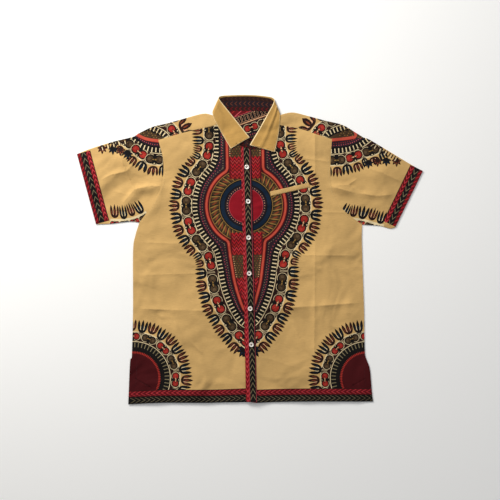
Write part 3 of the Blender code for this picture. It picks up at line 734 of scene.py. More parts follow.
def cornerPrint(side):
    sign = 1 if side == "right" else -1
    centre = np.array(corner["centre"][side])

    def arc(radius, low, high):
        angles = np.radians(np.linspace(low, high, 40))
        return centre + radius * np.stack([sign * np.cos(angles), np.sin(angles)], axis=1)

    pegs = makeTrack(arc(corner["pegs"], -30, 116), -sign)
    buds = makeTrack(arc(corner["buds"], -30, 116), -sign)
    motifs = [(colour, np.vstack([arc(corner["buds"] + out, -30, 118), [centre]]))
              for out, colour in ((12.2, "cream"), (10.2, "bark"))]
    motifs += comb(pegs, corner["pegPitch"], 2.4, "olive")
    motifs += [(colour, ring(centre, corner["line"] + out, 60))
               for out, colour in ((7.0, "black"), (0, "darkRed"), (-1.8, "rust"), (-3.2, "corner"))]
    edge = makeTrack(arc(corner["ticks"], -25, 118), -sign)
    motifs += pegRow(edge, 4.2, 0.2, 6.4, 1.5, colour="ember")
    places = np.radians(np.array(corner["turns"])[::-1] + 30) * corner["buds"]
    return motifs + fringe(buds, places, corner["bud"], corner["crown"], corner["tip"])


def borderPrint():
    line = np.vstack([smoothCurve(hem["right"]), [(3, -383)], smoothCurve(hem["left"])[::-1]])
    track = makeTrack(line, 1)
    low, high = border["black"], border["red"]
    motifs = band(track, -6, low, "black") + band(track, low, high, "darkRed")
    motifs += band(track, high - 1.4, high, "bark")
    for inner, outer, point, width, colour, steep in ((2.0, 15.5, 1, 1.9, "olive", 0.95),
                                                      (18.8, 31.0, -1, 3.0, "chevronRed", 1.0),
                                                      (19.8, 30.0, -1, 1.3, "rose", 1.0)):
        motifs += chevronRow(track, inner, outer, border["pitch"], point, width, colour, steep)
    return motifs + band(track, 16.9, 18.0, "bark")


frontPrint = ornamentPrint() + cornerPrint("right") + cornerPrint("left") + borderPrint()
print("front print:", len(frontPrint), "motifs")

# The sleeves: a border round each cuff, the ends of two rosettes at the cap and under the arm
cuff = {"rows": (0.0, 9.5, 23.0, 35.0), "pitch": 16.0, "slashPitch": 12.5, "stitch": 33.0}
cap = {
    "right": {
        "line": ((-290, 296), (-279, 288), (-259, 279.5), (-229, 275), (-214, 275)),
        "pegs": ((-312, 288), (-293, 276), (-276, 264), (-260, 257), (-243, 253), (-212, 251)),
        "buds": ((-330, 287), (-310, 272), (-291, 257), (-270, 240), (-249, 229), (-212, 226)),
        # how far back from the end of the row: forks and pairs in turn
        "pairs": (6, 28, 50, 72, 93, 115, 137),
    },
    "left": {
        "line": ((262, 303), (266, 291), (262, 284.5), (233, 280), (190, 276)),
        "pegs": ((312, 292), (291, 275), (270, 262), (245, 254), (218, 250.5), (190, 249)),
        "buds": ((330, 262), (306, 250), (283, 244), (259, 234), (232, 227), (190, 225)),
        "pairs": (4, 28, 50, 73, 95, 118, 140),
    },
}
palms = {
    "right": ((-307, 243, "navy"), (-326, 253, "clay"), (-345, 256, "navy"), (-372, 258, "clay")),
    "left": ((298, 221, "navy"), (321, 226, "clay"), (343, 227, "navy"), (369, 226, "clay")),
}
armFringe = {
    "right": {"row": ((-352, 78), (-320, 78), (-290, 84), (-262, 98)), "first": 0, "tip": 34},
    "left": {"row": ((226, 92), (250, 82), (285, 78), (312, 70), (338, 64)), "first": 1, "tip": 32},
}


def cuffTrack(side):
    ends = [underarm[side][-1], sleeveTop[side][-1]]
    return makeTrack(ends, 1 if side == "left" else -1)


def cuffPrint(side):
    track = cuffTrack(side)
    a, b, c, d = cuff["rows"]
    point = 1 if side == "right" else -1
    motifs = band(track, -5, d, "darkRed") + band(track, b, c, "black")
    motifs += band(track, d - 1.6, d, "bark") + band(track, b - 0.6, b + 0.6, "bark")
    for inner, outer, pitch, width, colour in ((b + 1, c - 1, 1.0, 2.8, "olive"),
                                               (c + 0.8, d - 1.8, 0.74, 5.0, "chevronRed"),
                                               (c + 1.8, d - 2.8, 0.74, 1.5, "rose")):
        motifs += chevronRow(track, inner, outer, cuff["pitch"] * pitch, point, width, colour, steep=0.95)
    slash = [(0, a + 1.5), (8 * point, b - 1), (5.2 * point, b - 1), (-2.8 * point, a + 1.5)]
    return motifs + [placed(track, "chevronRed", slash, along)
                     for along in placesAlong(track, cuff["slashPitch"])]


def sleevePrint(side):
    sign = -1 if side == "right" else 1
    rows = cap[side]
    line, pegs, buds = [makeTrack(smoothCurve(rows[row]), sign) for row in ("line", "pegs", "buds")]
    above = [np.array(rows["line"][-1]) + (0, 60), np.array(rows["line"][0]) + (sign * 40, 60)]
    end = buds["length"]
    motifs = [filled(buds, 14.5, "cream", 40, above), filled(buds, 12.5, "bark", 40, above)]
    motifs += comb(pegs, 9.6) + [filled(pegs, -9, "purple", 30, above)]
    motifs += dotRow(pegs, 6.4, -12.6, 1.2, "rose") + dotRow(pegs, 6.4, -18, 1.1, "rust")
    motifs += fringe(buds, (end - np.array(rows["pairs"], dtype=float))[::-1], 12.0, 12.5,
                     ((0, 0.45 * end, end), (34, 38, 41)), inks=("brown", "rust"))
    motifs += [filled(line, 5.5, "black", 24, above)]
    motifs += band(line, 3.4, 4.6, "rust") + band(line, -3.2, 3.6, "orange")
    motifs += [filled(line, -3.4, "brown", 24, above)]
    for x, y, colour in palms[side]:
        motifs += palm((x, y), 15.0, colour)
    spikes = makeTrack(smoothCurve(sleeveTop[side]), sign)
    for pitch, out, length, width, colour in ((7.5, -7.0, 11.0, 3.6, "bark"),
                                              (15.0, -9.0, 9.0, 2.6, "cream")):
        motifs += pegRow(spikes, pitch, out, length, width, start=30.0, end=105.0, colour=colour)
    upward = makeTrack(smoothCurve(armFringe[side]["row"]), 1)
    pitch = upward["length"] / round(upward["length"] / 24.5)
    motifs += band(upward, -22, 0.5, "cream")
    for k, along in enumerate((np.arange(round(upward["length"] / 24.5)) + 0.5) * pitch):
        dark = "navy" if (k + armFringe[side]["first"]) % 2 else "clay"
        motifs += trident(upward, along, -1, armFringe[side]["tip"], pitch, dark, lean=sign * 2.0)
        motifs += budPair(upward, along, -11, 6.4, "brown" if k % 2 else "rust")
    return motifs + cuffPrint(side)


# The yoke's ends carry the other halves of the cap's rosettes, and the inside shows through the neck
yokeEnd = {
    "right": {"pegs": ((-272, 312), (-248, 306), (-228, 297), (-212, 285), (-205, 262)),
              "buds": ((-254, 334), (-230, 327), (-205, 312), (-190, 294), (-184, 268))},
    "left": {"pegs": ((250, 312), (230, 306), (208, 298), (192, 287), (186, 262)),
             "buds": ((238, 335), (214, 328), (190, 314), (171, 300), (162, 276))},
}


def yokePrint(side):
    sign = 1 if side == "right" else -1
    pegs, buds = [makeTrack(smoothCurve(yokeEnd[side][row]), sign) for row in ("pegs", "buds")]
    line = makeTrack(smoothCurve(cap[side]["line"]), 1)
    outside = [(-sign * 330, 262), (-sign * 330, 335)]
    motifs = [filled(buds, 14.5, "cream", 20, outside), filled(buds, 12.5, "bark", 20, outside)]
    motifs += comb(pegs, 9.2) + [filled(pegs, -9, "brown", 20, outside)]
    for row in range(12):
        for column in range(12):
            place = (-sign * (226 + column * 6.4 + (3.2 if row % 2 else 0)), 266 + row * 5.6)
            motifs.append(("gold" if (row * 5 + column) % 3 else "black", ring(place, 1.3, 5)))
    motifs += fringe(buds, (-2, 24, 50, 76, 102), 11.6, 12.5, 47, inks=("brown", "rust"))
    return motifs + band(line, -3.2, 3.6, "orange")


def neckPrint():
    # the wrong side of the yoke, seen inside the collar
    pegs = makeTrack([(-62, 312), (-30, 327), (34, 350), (70, 362)], 1)
    low = makeTrack([(-70, 287), (-30, 300), (30, 320), (66, 332)], 1)
    motifs = [("cocoa", np.array([(-95, 385), (-95, 240), (75, 240), (75, 385)])),
              ("darkRed", np.array([(-70, 345), (30, 385), (80, 385), (75, 362), (-62, 316)]))]
    for k in range(9):
        x = -72 + 17 * k
        slash = np.array([(x, 335), (x + 34, 365), (x + 32.6, 366.5), (x - 1.4, 336.5)])
        motifs.append(("rust" if k % 2 else "rose", slash))
    motifs += band(pegs, -13, 11, "plum") + band(pegs, 10, 11, "rose")
    motifs += pegRow(pegs, 8.6, -1.0, 17.6, 7.4, colour="blush") + pegRow(pegs, 8.6, -1.0, 16.4, 6.5)
    motifs += band(pegs, -13.4, -11.6, "blush") + band(low, -34, 9, "plum")
    for along, out, radius, colour in ((76, -2, 10.0, "rust"), (112, 0, 9.0, "brown"),
                                       (34, -2, 9.0, "brown")):
        motifs += budPair(low, along, out, radius, colour)
    motifs += dotRow(low, 6.0, -19, 1.1, "rose") + dotRow(low, 6.0, -25, 1.1, "gold")
    return motifs + chevronRow(low, -42, -30, 12.0, 1, 2.4, "chevronRed")


placket = {"redShare": (0.24, 0.39), "black": 15.2, "pitch": 15.0}  # the red part's share, top and bottom


def placketPrint():
    # a ribbon of two rows down the opening, the black one under the buttons
    left, right = [evenPoints(smoothCurve(placketEdge[side]), 130) for side in ("right", "left")]
    track = makeTrack(left + (right - left) * np.linspace(*placket["redShare"], 131)[:, None], 1)
    black = placket["black"]
    motifs = band(track, -16, 26, "darkRed") + band(track, 0, black, "black")
    motifs += band(track, black, 26, "purple") + band(track, black, black + 1.0, "rose")
    motifs += band(track, -0.9, 0, "rose")
    motifs += chevronRow(track, 1.2, black - 1.4, placket["pitch"], -1, 3.0, "olive", steep=1.0)
    for inner, outer, width, colour in ((-9.6, -1.2, 7.4, "chevronRed"), (-8.4, -2.2, 2.4, "rose")):
        motifs += chevronRow(track, inner, outer, 12.4, 1, width, colour, steep=1.1)
    return motifs


# Materials

def addNode(tree, kind, settings=None, links=None):
    # a node with its settings; links gives a value or another node's socket for each input
    node = tree.nodes.new(kind)
    for name, value in (settings or {}).items():
        setattr(node, name, value)
    for name, value in (links or {}).items():
        if isinstance(value, bpy.types.NodeSocket):
            tree.links.new(value, node.inputs[name])
        else:
            node.inputs[name].default_value = value
    return node


def startMaterial(name, values):
    # a new material, with the values that are equal all over on the shader's own sockets
    material = bpy.data.materials.new(name)
    material.use_nodes = True
    tree = material.node_tree
    shader = tree.nodes["Principled BSDF"]
    for socket, value in values.items():
        shader.inputs[socket].default_value = value
    return material, tree, shader, addNode(tree, "ShaderNodeTexCoord").outputs["Object"]


def wovenCotton():
    # Plain-woven cotton with a wax-style print: matt, a fine even grain, faint slubs along the threads,
    # hardly any bloom. The print soaks in, so the inks are matt too and the slubs show in them.
    threadSpacing = 0.9     # mm; the real one is about 0.35, which would not show at all
    slub = (14.0, 1.6)      # mm, long and wide
    roughness = 0.82
    material, tree, shader, place = startMaterial("waxPrintedCotton", {
        "Metallic": 0.0, "IOR": 1.5, "Specular IOR Level": 0.15,
        "Sheen Weight": 0.04, "Sheen Roughness": 0.5})
    perMetre = 1000.0
    warp, weft = [addNode(tree, "ShaderNodeTexWave", {"bands_direction": across},
                          {"Vector": place, "Scale": perMetre / threadSpacing / 20, "Distortion": 0.6,
                           "Detail": 1.0, "Detail Scale": 0.6}) for across in "XY"]
    grain = addNode(tree, "ShaderNodeMath", {"operation": "MULTIPLY"},
                    {0: warp.outputs["Fac"], 1: weft.outputs["Fac"]})
    stretch = addNode(tree, "ShaderNodeMapping", None,
                      {"Vector": place, "Scale": (perMetre / slub[0], perMetre / slub[1], 1.0)})
    slubs = addNode(tree, "ShaderNodeTexNoise", None,
                    {"Vector": stretch.outputs["Vector"], "Scale": 1.0, "Detail": 2.0})
    clouds = addNode(tree, "ShaderNodeTexNoise", None,
                     {"Vector": place, "Scale": 11.0, "Detail": 3.0, "Roughness": 0.55})
    base = addNode(tree, "ShaderNodeAttribute", {"attribute_name": "ink"}).outputs["Color"]
    uneven, threads = [addNode(tree, "ShaderNodeMapRange", None,
                               {"Value": source.outputs["Fac"], "From Min": 0.5 - half,
                                "From Max": 0.5 + half, "To Min": low, "To Max": high})
                       for source, half, low, high in ((clouds, 0.2, 0.93, 1.04), (slubs, 0.15, 0.95, 1.03))]
    both = addNode(tree, "ShaderNodeMath", {"operation": "MULTIPLY"},
                   {0: uneven.outputs["Result"], 1: threads.outputs["Result"]})
    shade = addNode(tree, "ShaderNodeVectorMath", {"operation": "SCALE"},
                    {0: base, "Scale": both.outputs[0]})
    tree.links.new(shade.outputs[0], shader.inputs["Base Color"])
    rough = addNode(tree, "ShaderNodeMapRange", None,
                    {"Value": slubs.outputs["Fac"], "To Min": roughness - 0.06, "To Max": roughness + 0.06})
    tree.links.new(rough.outputs["Result"], shader.inputs["Roughness"])
    # the slack of worn cloth: slow sways some 12 cm long, then a crumple of 2 to 3 cm, then the weave
    sway = addNode(tree, "ShaderNodeTexNoise", None,
                   {"Vector": place, "Scale": 8.0, "Detail": 2.0, "Roughness": 0.45, "Distortion": 0.8})
    crumple = addNode(tree, "ShaderNodeTexNoise", None,
                      {"Vector": place, "Scale": 38.0, "Detail": 4.0, "Roughness": 0.5, "Distortion": 0.4})
    swayed = addNode(tree, "ShaderNodeBump", None,
                     {"Height": sway.outputs["Fac"], "Strength": 1.0, "Distance": 0.02})
    crumpled = addNode(tree, "ShaderNodeBump", None,
                       {"Height": crumple.outputs["Fac"], "Strength": 0.5, "Distance": 0.0026,
                        "Normal": swayed.outputs["Normal"]})
    woven = addNode(tree, "ShaderNodeBump", None,
                    {"Height": grain.outputs[0], "Strength": 0.25, "Distance": 0.0001,
                     "Normal": crumpled.outputs["Normal"]})
    tree.links.new(woven.outputs["Normal"], shader.inputs["Normal"])
    return material


def turnedPearl():
    # Pearl shell, turned and polished: white with slow pink and green clouds and a clear, tight shine
    material, tree, shader, place = startMaterial("turnedPearlShell", {
        "Roughness": 0.22, "IOR": 1.53, "Coat Weight": 0.4, "Coat Roughness": 0.1})
    clouds = addNode(tree, "ShaderNodeTexNoise", None,
                     {"Vector": place, "Scale": 260.0, "Detail": 3.0, "Distortion": 1.2})
    ramp = addNode(tree, "ShaderNodeValToRGB", None, {"Fac": clouds.outputs["Fac"]})
    for stop, position, colour in zip(ramp.color_ramp.elements, (0.32, 0.68), ("#EBD9CF", "#F4F6EE")):
        stop.position = position
        stop.color = hexToLinear(colour)
    tree.links.new(ramp.outputs["Color"], shader.inputs["Base Color"])
    ripple = addNode(tree, "ShaderNodeTexNoise", None, {"Vector": place, "Scale": 900.0, "Detail": 1.0})
    bump = addNode(tree, "ShaderNodeBump", None,
                   {"Height": ripple.outputs["Fac"], "Strength": 0.15, "Distance": 0.0001})
    tree.links.new(bump.outputs["Normal"], shader.inputs["Normal"])
    return material


def sewingThread(name, colour):
    # Spun polyester-cotton thread: a fine twist that catches a little light
    material, tree, shader, place = startMaterial(name, {"Roughness": 0.55})
    twist = addNode(tree, "ShaderNodeTexWave", {"bands_direction": "DIAGONAL"},
                    {"Vector": place, "Scale": 1000.0 / 0.8 / 20, "Distortion": 0.5})
    dark = tuple(0.78 * c for c in hexToLinear(colour)[:3]) + (1.0,)
    tone = addNode(tree, "ShaderNodeMix", {"data_type": "RGBA"},
                   {"Factor": twist.outputs["Fac"], 6: dark, 7: hexToLinear(colour)})
    tree.links.new(tone.outputs[2], shader.inputs["Base Color"])
    return material


printedCotton = wovenCotton()
creamThread = sewingThread("creamSewingThread", "#E7CF96")
darkThread = sewingThread("darkSewingThread", "#3A1218")
pearl = turnedPearl()
print("materials made")


# Cutting and laying the cloth

def triangulate(outline, motifs, spacing=cloth["netSpacing"], extra=None, regions=()):
    # one net of triangles inside the outline that also follows every motif's edge
    low = outline.min(axis=0) - 1
    high = outline.max(axis=0) + 1
    rings = [outline] + list(regions)
    rings += [shape for _, shape in motifs
              if (shape.max(axis=0) > low).all() and (shape.min(axis=0) < high).all()]
    grid = np.meshgrid(np.arange(low[0], high[0], spacing), np.arange(low[1], high[1], spacing))
    net = np.stack(grid, axis=-1).reshape(-1, 2)
    if extra is not None:
        net = np.vstack([net, extra])
    net = net[insidePolygon(net, outline)]
    net = net[ringDistance(net, outline) > 0.3 * spacing]
    edges = []
    start = 0
    for shape in rings:
        edges += [(start + k, start + (k + 1) % len(shape)) for k in range(len(shape))]
        start += len(shape)
    spots = [Vector(p) for p in np.vstack(rings + [net]).tolist()]
    result = delaunay_2d_cdt(spots, edges, [], 0, 1e-4, False)
    points = np.array([tuple(p) for p in result[0]])
    triangles = np.array([tuple(t) for t in result[2]])
    corners = points[triangles]
    turned = np.cross(corners[:, 1] - corners[:, 0], corners[:, 2] - corners[:, 0]) < 0
    triangles[turned] = triangles[turned][:, ::-1]
    return points, triangles[insidePolygon(corners.mean(axis=1), outline)]


def paint(points, triangles, motifs, ground="ground"):
    # the ink of each triangle: that of the last motif that its middle is in
    middles = points[triangles].mean(axis=1)
    number = np.full(len(middles), -1)
    for k, (_, shape) in enumerate(motifs):
        (x0, y0), (x1, y1) = shape.min(axis=0), shape.max(axis=0)
        near = np.nonzero((middles[:, 0] > x0) & (middles[:, 0] < x1)
                          & (middles[:, 1] > y0) & (middles[:, 1] < y1))[0]
        if len(near):
            number[near[insidePolygon(middles[near], shape)]] = k
    return [motifs[k][0] if k >= 0 else ground for k in number]


def signedArea(shape):
    x, y = shape[:, 0], shape[:, 1]
    return float(np.sum(x * np.roll(y, -1) - y * np.roll(x, -1))) / 2


def addObject(name, data):
    holder = bpy.data.objects.new(name, data)
    bpy.context.scene.collection.objects.link(holder)
    return holder


def makeMesh(name, vertices, faces, material):
    mesh = bpy.data.meshes.new(name)
    mesh.from_pydata((np.asarray(vertices) * mm).tolist(), [], faces)
    mesh.materials.append(material)
    mesh.shade_smooth()
    return mesh


def toShirt(piece, node=None):
    # the whole shirt is one body, and each piece but the sewing stands for one solid
    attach(piece, "root")
    if node:
        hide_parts(node)
    return piece


def clothPiece(name, vertices, faces, colours, node, thickness=cloth["thickness"]):
    # a sheet at the middle of its wall, thickened, with its inks on the corners of its faces
    faces = [tuple(int(v) for v in face) for face in faces]
    used = sorted({v for face in faces for v in face})
    renumber = {v: k for k, v in enumerate(used)}
    mesh = makeMesh(name, np.asarray(vertices)[used], [tuple(renumber[v] for v in face) for face in faces],
                    printedCotton)
    layer = mesh.color_attributes.new("ink", "FLOAT_COLOR", "CORNER")
    palette = {key: hexToLinear(code) for key, code in ink.items()}
    values = [palette[colour] for face, colour in zip(faces, colours) for _ in face]
    layer.data.foreach_set("color", np.array(values, dtype=np.float32).ravel())
    piece = addObject(name, mesh)
    wall = piece.modifiers.new("Wall", "SOLIDIFY")
    wall.thickness = thickness * mm
    wall.offset = 0.0
    depsgraph = bpy.context.evaluated_depsgraph_get()
    solid = bpy.data.meshes.new_from_object(piece.evaluated_get(depsgraph), depsgraph=depsgraph)
    piece.modifiers.clear()
    piece.data = solid
    bpy.data.meshes.remove(mesh)
    solid.name = name
    solid.set_sharp_from_angle(angle=math.radians(60))
    print(name, len(solid.vertices), "points")
    return toShirt(piece, node)


def edgeRoll(distance, drop=0.35):
    # edges come down a little where they are turned and sewn
    return drop * np.exp(-distance / 1.6)


def flatPiece(name, node, outline, motifs, height, slot="printed_cotton", ground="ground", drop=0.35, **net):
    # a piece that lies in one layer
    points, triangles = triangulate(outline, motifs, **net)
    z = height(points) - edgeRoll(ringDistance(points, outline), drop)
    colours = paint(points, triangles, motifs, ground)
    return clothPiece(name, np.column_stack([points, z]), triangles, colours, node)


def creasePoints():
    # extra points along each crease, so that the net bends there and not beside it
    parts = []
    for start, end, halfWidth, _ in creases:
        line = evenPoints(np.array([start, end], dtype=float), max(3, round(math.dist(start, end) / 4.0)))
        across = axesAlong(start, end)[1]
        parts += [line + across * share * halfWidth for share in (-3.0, -1.5, -0.6, 0.0, 0.6, 1.5, 3.0)]
    return np.vstack(parts)


creaseNet = creasePoints()


def insetChain(points, side, distance):
    # the line moved to its left by a distance, or to its right where side is -1
    return points + side * distance * headings(points)[1]


def standSeam(first, last):
    # the neck seam between two of the stand's rows
    step = 1 if last >= first else -1
    return smoothCurve([standRows[row][:2] for row in range(first, last + step, step)], 4)


def frontOutline(side):
    other, rows = ("left", (5, 2)) if side == "right" else ("right", (17, 21))
    return np.vstack([evenCurve(sideSeam[side])[::-1], smoothCurve(armhole[side])[::-1][1:],
                      evenCurve(yokeSeam[side])[1:], standSeam(*rows)[1:], placketEdge[side][:1],
                      evenCurve(placketEdge[other]), placketEdge[side][-1:],
                      evenCurve(hem[side])[::-1][1:-1]])


def makeFront(side):
    return flatPiece("front" + side.capitalize(), "front_" + side, frontOutline(side), frontPrint,
                     upperLayers[side], extra=creaseNet)


def makePlacket():
    outline = np.vstack([evenCurve(placketEdge["right"]), evenCurve(placketEdge["left"])[::-1]])
    return flatPiece("placketBand", "placket_band", outline, placketPrint(), placketLayer,
                     slot="border_cotton", ground="darkRed", drop=0.5, spacing=4.0)


def makeBackPanel():
    low = {side: evenCurve(sideSeam[side]) for side in ("right", "left")}
    arm = {side: smoothCurve(armhole[side][1:]) for side in ("right", "left")}
    bottom = np.vstack([smoothCurve(hem["right"][:3]), smoothCurve(hem["left"][:2])[::-1]])
    outline = np.vstack([low["right"][::-1], arm["right"][::-1][1:], arm["left"], low["left"][1:],
                         evenPoints(bottom, 120)[::-1][1:-1]])
    return flatPiece("backPanel", "back_panel", outline, frontPrint, backLayer, drop=0.0, spacing=9.0)


def foldedPiece(name, node, points, triangles, frontZ, chains, frontOf, frontInks, backInks):
    # two layers cut from one net and joined round their folds
    count = len(points)
    backZ = backLayer(points)
    faces = []
    colours = []
    edges = {}
    for number in frontOf:
        a, b, c = triangles[number]
        faces.append((a, b, c))
        colours.append(frontInks[number])
        edges.update({pair: number for pair in ((a, b), (b, c), (c, a))})
    faces += [(c + count, b + count, a + count) for a, b, c in triangles]
    colours += backInks
    rims = [(i, j) for (i, j) in edges if (j, i) not in edges]
    arcs = {}
    added = []
    turn = np.radians((30, 60, 90, 120, 150))
    radius = cloth["layer"] / 2
    for chain, side in chains:
        normals = side * headings(chain)[1]
        held = set(np.nonzero(chainDistance(points, chain) < 0.02)[0].tolist())
        for i, j in rims:
            if i not in held or j not in held:
                continue
            for corner in (i, j):
                if corner in arcs:
                    continue
                nearest = int(np.argmin(np.linalg.norm(chain - points[corner], axis=1)))
                middle = (frontZ[corner] + backZ[corner]) / 2
                half = (frontZ[corner] - backZ[corner]) / 2
                arcs[corner] = [corner]
                for angle in turn:
                    place = points[corner] + normals[nearest] * radius * math.sin(angle)
                    arcs[corner].append(2 * count + len(added))
                    added.append((place[0], place[1], middle + half * math.cos(angle)))
                arcs[corner].append(corner + count)
            first, second = arcs[i], arcs[j]
            for step in range(len(turn) + 1):
                faces.append((second[step], first[step], first[step + 1], second[step + 1]))
                colours.append(frontInks[edges[(i, j)]])
    vertices = np.vstack([np.column_stack([points, frontZ]), np.column_stack([points, backZ]), added])
    return clothPiece(name, vertices, faces, colours, node)


def sleeveOutline(side):
    sign = -1 if side == "right" else 1
    top = insetChain(evenCurve(sleeveTop[side]), -sign, cloth["foldInset"])
    under = insetChain(evenCurve(underarm[side]), sign, cloth["foldInset"])
    arm = np.vstack([smoothCurve(armhole[side])[::-1],
                     evenPoints(np.array([yokeSeam[side][0], shoulder[side][0]]), 8)[1:]])
    arm[0] = under[0]
    arm[-1] = top[0]
    end = evenPoints(np.array([top[-1], under[-1]]), 40)
    return np.vstack([arm, top[1:], end[1:-1], under[::-1][:-1]]), top, under


def makeSleeve(side):
    sign = -1 if side == "right" else 1
    outline, top, under = sleeveOutline(side)
    motifs = sleevePrint(side)
    points, triangles = triangulate(outline, motifs, extra=creaseNet)
    colours = paint(points, triangles, motifs)
    front = frontLayer(points) - edgeRoll(chainDistance(points, smoothCurve(armhole[side])))
    return foldedPiece("sleeve" + side.capitalize(), "sleeve_" + side, points, triangles, front,
                       ((top, sign), (under, -sign)), range(len(triangles)), colours, colours)


def makeYoke():
    tops = {side: insetChain(evenCurve(shoulder[side]), sign, cloth["foldInset"])
            for side, sign in (("right", -1), ("left", 1))}
    tips = {side: evenPoints(np.array([tops[side][0], yokeSeam[side][0]]), 8) for side in tops}
    ends = {side: np.vstack([tips[side], smoothCurve(armhole[side])[1:9]]) for side in tops}
    outline = np.vstack([ends["right"][::-1], tops["right"][1:], standSeam(7, 15)[1:-1], tops["left"][::-1],
                         ends["left"][1:]])
    flaps = [np.vstack([evenCurve(yokeSeam[side]), standSeam(*rows)[1:-1], tops[side][::-1],
                        tips[side][1:-1]])
             for side, rows in neckSides.items()]
    inside = neckPrint()
    outside = yokePrint("right") + yokePrint("left")
    points, triangles = triangulate(outline, inside + outside, regions=flaps)
    middles = points[triangles].mean(axis=1)
    frontOf = np.nonzero(insidePolygon(middles, flaps[0]) | insidePolygon(middles, flaps[1]))[0]
    seams = [chainDistance(points, smoothCurve(yokeSeam[side])) for side in tops]
    front = frontLayer(points) - edgeRoll(np.minimum(*seams))
    return foldedPiece("backYoke", "back_yoke", points, triangles, front,
                       ((tops["right"], 1), (tops["left"], -1)), frontOf, paint(points, triangles, outside),
                       paint(points, triangles, inside + outside))


# The collar, made on its own flat net and then bent to its place

standWidth = 34.0


def collarRows(table):
    # the rows made fine, and how far along the collar each is
    rows = smoothCurve(table, 6)
    return rows, lengthsAlong((rows[:, :3] + rows[:, 3:]) / 2)


def acrossCollar(points, rows, lengths):
    # the two ends of the row that each point of the flat net is on
    spots = np.stack([np.interp(points[:, 0], lengths, rows[:, k]) for k in range(6)], axis=1)
    return spots[:, :3], spots[:, 3:]


def levelLine(along, down):
    return np.column_stack([along, np.full(len(along), down)])


def makeStand():
    rows, lengths = collarRows(standRows)
    total = lengths[-1]
    track = makeTrack([(0, 0), (total, 0)], 1)
    motifs = band(track, -2, 40, "bark") + chevronRow(track, 25, 33, 11.0, -1, 2.6, "cocoa")
    motifs += band(track, 10.6, 24.0, "plum")
    for inner, outer, width, colour in ((12, 22.6, 3.0, "cocoa"), (13.4, 21.2, 1.0, "clay"),
                                        (0.5, 9.6, 3.0, "darkRed")):
        motifs += chevronRow(track, inner, outer, 11.0, -1, width, colour)
    along = np.linspace(0, total, round(total / 4))
    outline = np.vstack([levelLine(along, 0.0), levelLine(along, standWidth)[::-1]])
    points, triangles = triangulate(outline, motifs)
    low, high = acrossCollar(points, rows, lengths)
    share = (points[:, 1] / standWidth)[:, None]
    return clothPiece("collarStand", low * (1 - share) + high * share, triangles[:, ::-1],
                      paint(points, triangles, motifs), "collar_stand")


fall = {"width": 60.0, "lip": 3.0, "hemStitch": 4.5, "thickness": 0.7,
        "leftCrease": 2.0, "rightCrease": 0.9}


def fallPlace(points):
    # from the collar's own net, along the fold and down from it, to where it lies
    fold, edge = acrossCollar(points, *collarRows(fallRows))
    softness = smoothStep((fold[:, 2] - 2) / 2)
    roll = 70 - 67 * softness
    share = np.clip(points[:, 1] / fall["width"], 0.0, 1.0)
    drop = (1 - np.exp(-roll * share)) / (1 - np.exp(-roll))
    place = fold + (edge - fold) * share[:, None]
    place[:, 2] = fold[:, 2] + (edge[:, 2] - fold[:, 2]) * drop
    outward = (edge - fold)[:, :2]
    outward /= np.linalg.norm(outward, axis=1)[:, None]
    radius = 0.3 + 1.3 * softness
    turn = np.clip(-points[:, 1] / fall["lip"], 0.0, 1.0) * math.pi / 2
    place[:, :2] -= outward * (radius * np.sin(turn))[:, None]
    place[:, 2] -= radius * (1 - np.cos(turn))
    # a soft lengthwise crease down each leaf
    middle = np.exp(-((points[:, 1] - 24) / 4) ** 2) - 0.5 * np.exp(-((points[:, 1] - 33) / 6) ** 2)
    place[:, 2] += np.where(place[:, 0] > 0, fall["leftCrease"], fall["rightCrease"]) * softness * middle
    return place


def makeFall():
    total = collarRows(fallRows)[1][-1]
    lip, width = fall["lip"], fall["width"]
    along = np.linspace(0, total, round(total / 4))
    down = np.linspace(-lip, width, 16)
    outline = np.vstack([levelLine(along, -lip), np.column_stack([np.full(16, total), down])[1:-1],
                         levelLine(along, width)[::-1], np.column_stack([np.zeros(16), down])[::-1][1:-1]])
    track = makeTrack([(0, 0), (total, 0)], 1)
    # a pale painted highlight along the turned fold, along the outer edge of the leaves and up both ends,
    # where the folded cloth catches the light
    motifs = band(track, -lip - 1, 0.6, "paintedEdgeHighlight") + band(track, width - 1.3, width + 1, "paintedEdgeHighlight")
    for edge in (-1.0, total - 1.1):
        motifs.append(("paintedEdgeHighlight", np.array([(edge, -4), (edge + 2.1, -4), (edge + 2.1, 62), (edge, 62)])))
    near = np.meshgrid(np.arange(2, total, 4), (-2.2, -1.5, -0.8, 0, 0.8, 1.8))
    points, triangles = triangulate(outline, motifs, 3.5, np.stack(near, axis=-1).reshape(-1, 2))
    place = fallPlace(points)
    place[:, 2] -= 0.25 * np.exp(-chainDistance(points, outline[len(along) + 14:-14]) / 1.2)
    return clothPiece("collarFall", place, triangles[:, ::-1], paint(points, triangles, motifs, "leaf"),
                      "collar_fall", fall["thickness"])


welt = {"from": (51.5, 141.5), "to": (149.0, 163.5), "halfWidth": 5.6}


def weltHeight(points):
    return placketLayer(points) + 0.35


def makeWelt():
    start, end = welt["from"], welt["to"]
    across = axesAlong(start, end)[1] * welt["halfWidth"]
    outline = np.vstack([evenPoints(np.array([start - across, end - across]), 40),
                         evenPoints(np.array([end + across, start + across]), 40)])

    def height(points):
        return weltHeight(points) - 0.45 * np.exp(-ringDistance(points, outline) / 1.0)

    return flatPiece("pocketWelt", "pocket_welt", outline, [], height, slot="plain_cotton", spacing=2.5)


# Buttons and thread

button = {"radius": 5.8, "hole": 1.15, "holeAt": 1.9, "thread": 1.5,
          "line": ((-8, 208.5), (-4.5, 122), (-3.5, 31), (-2, -59), (0.5, -147.5), (3.5, -238))}


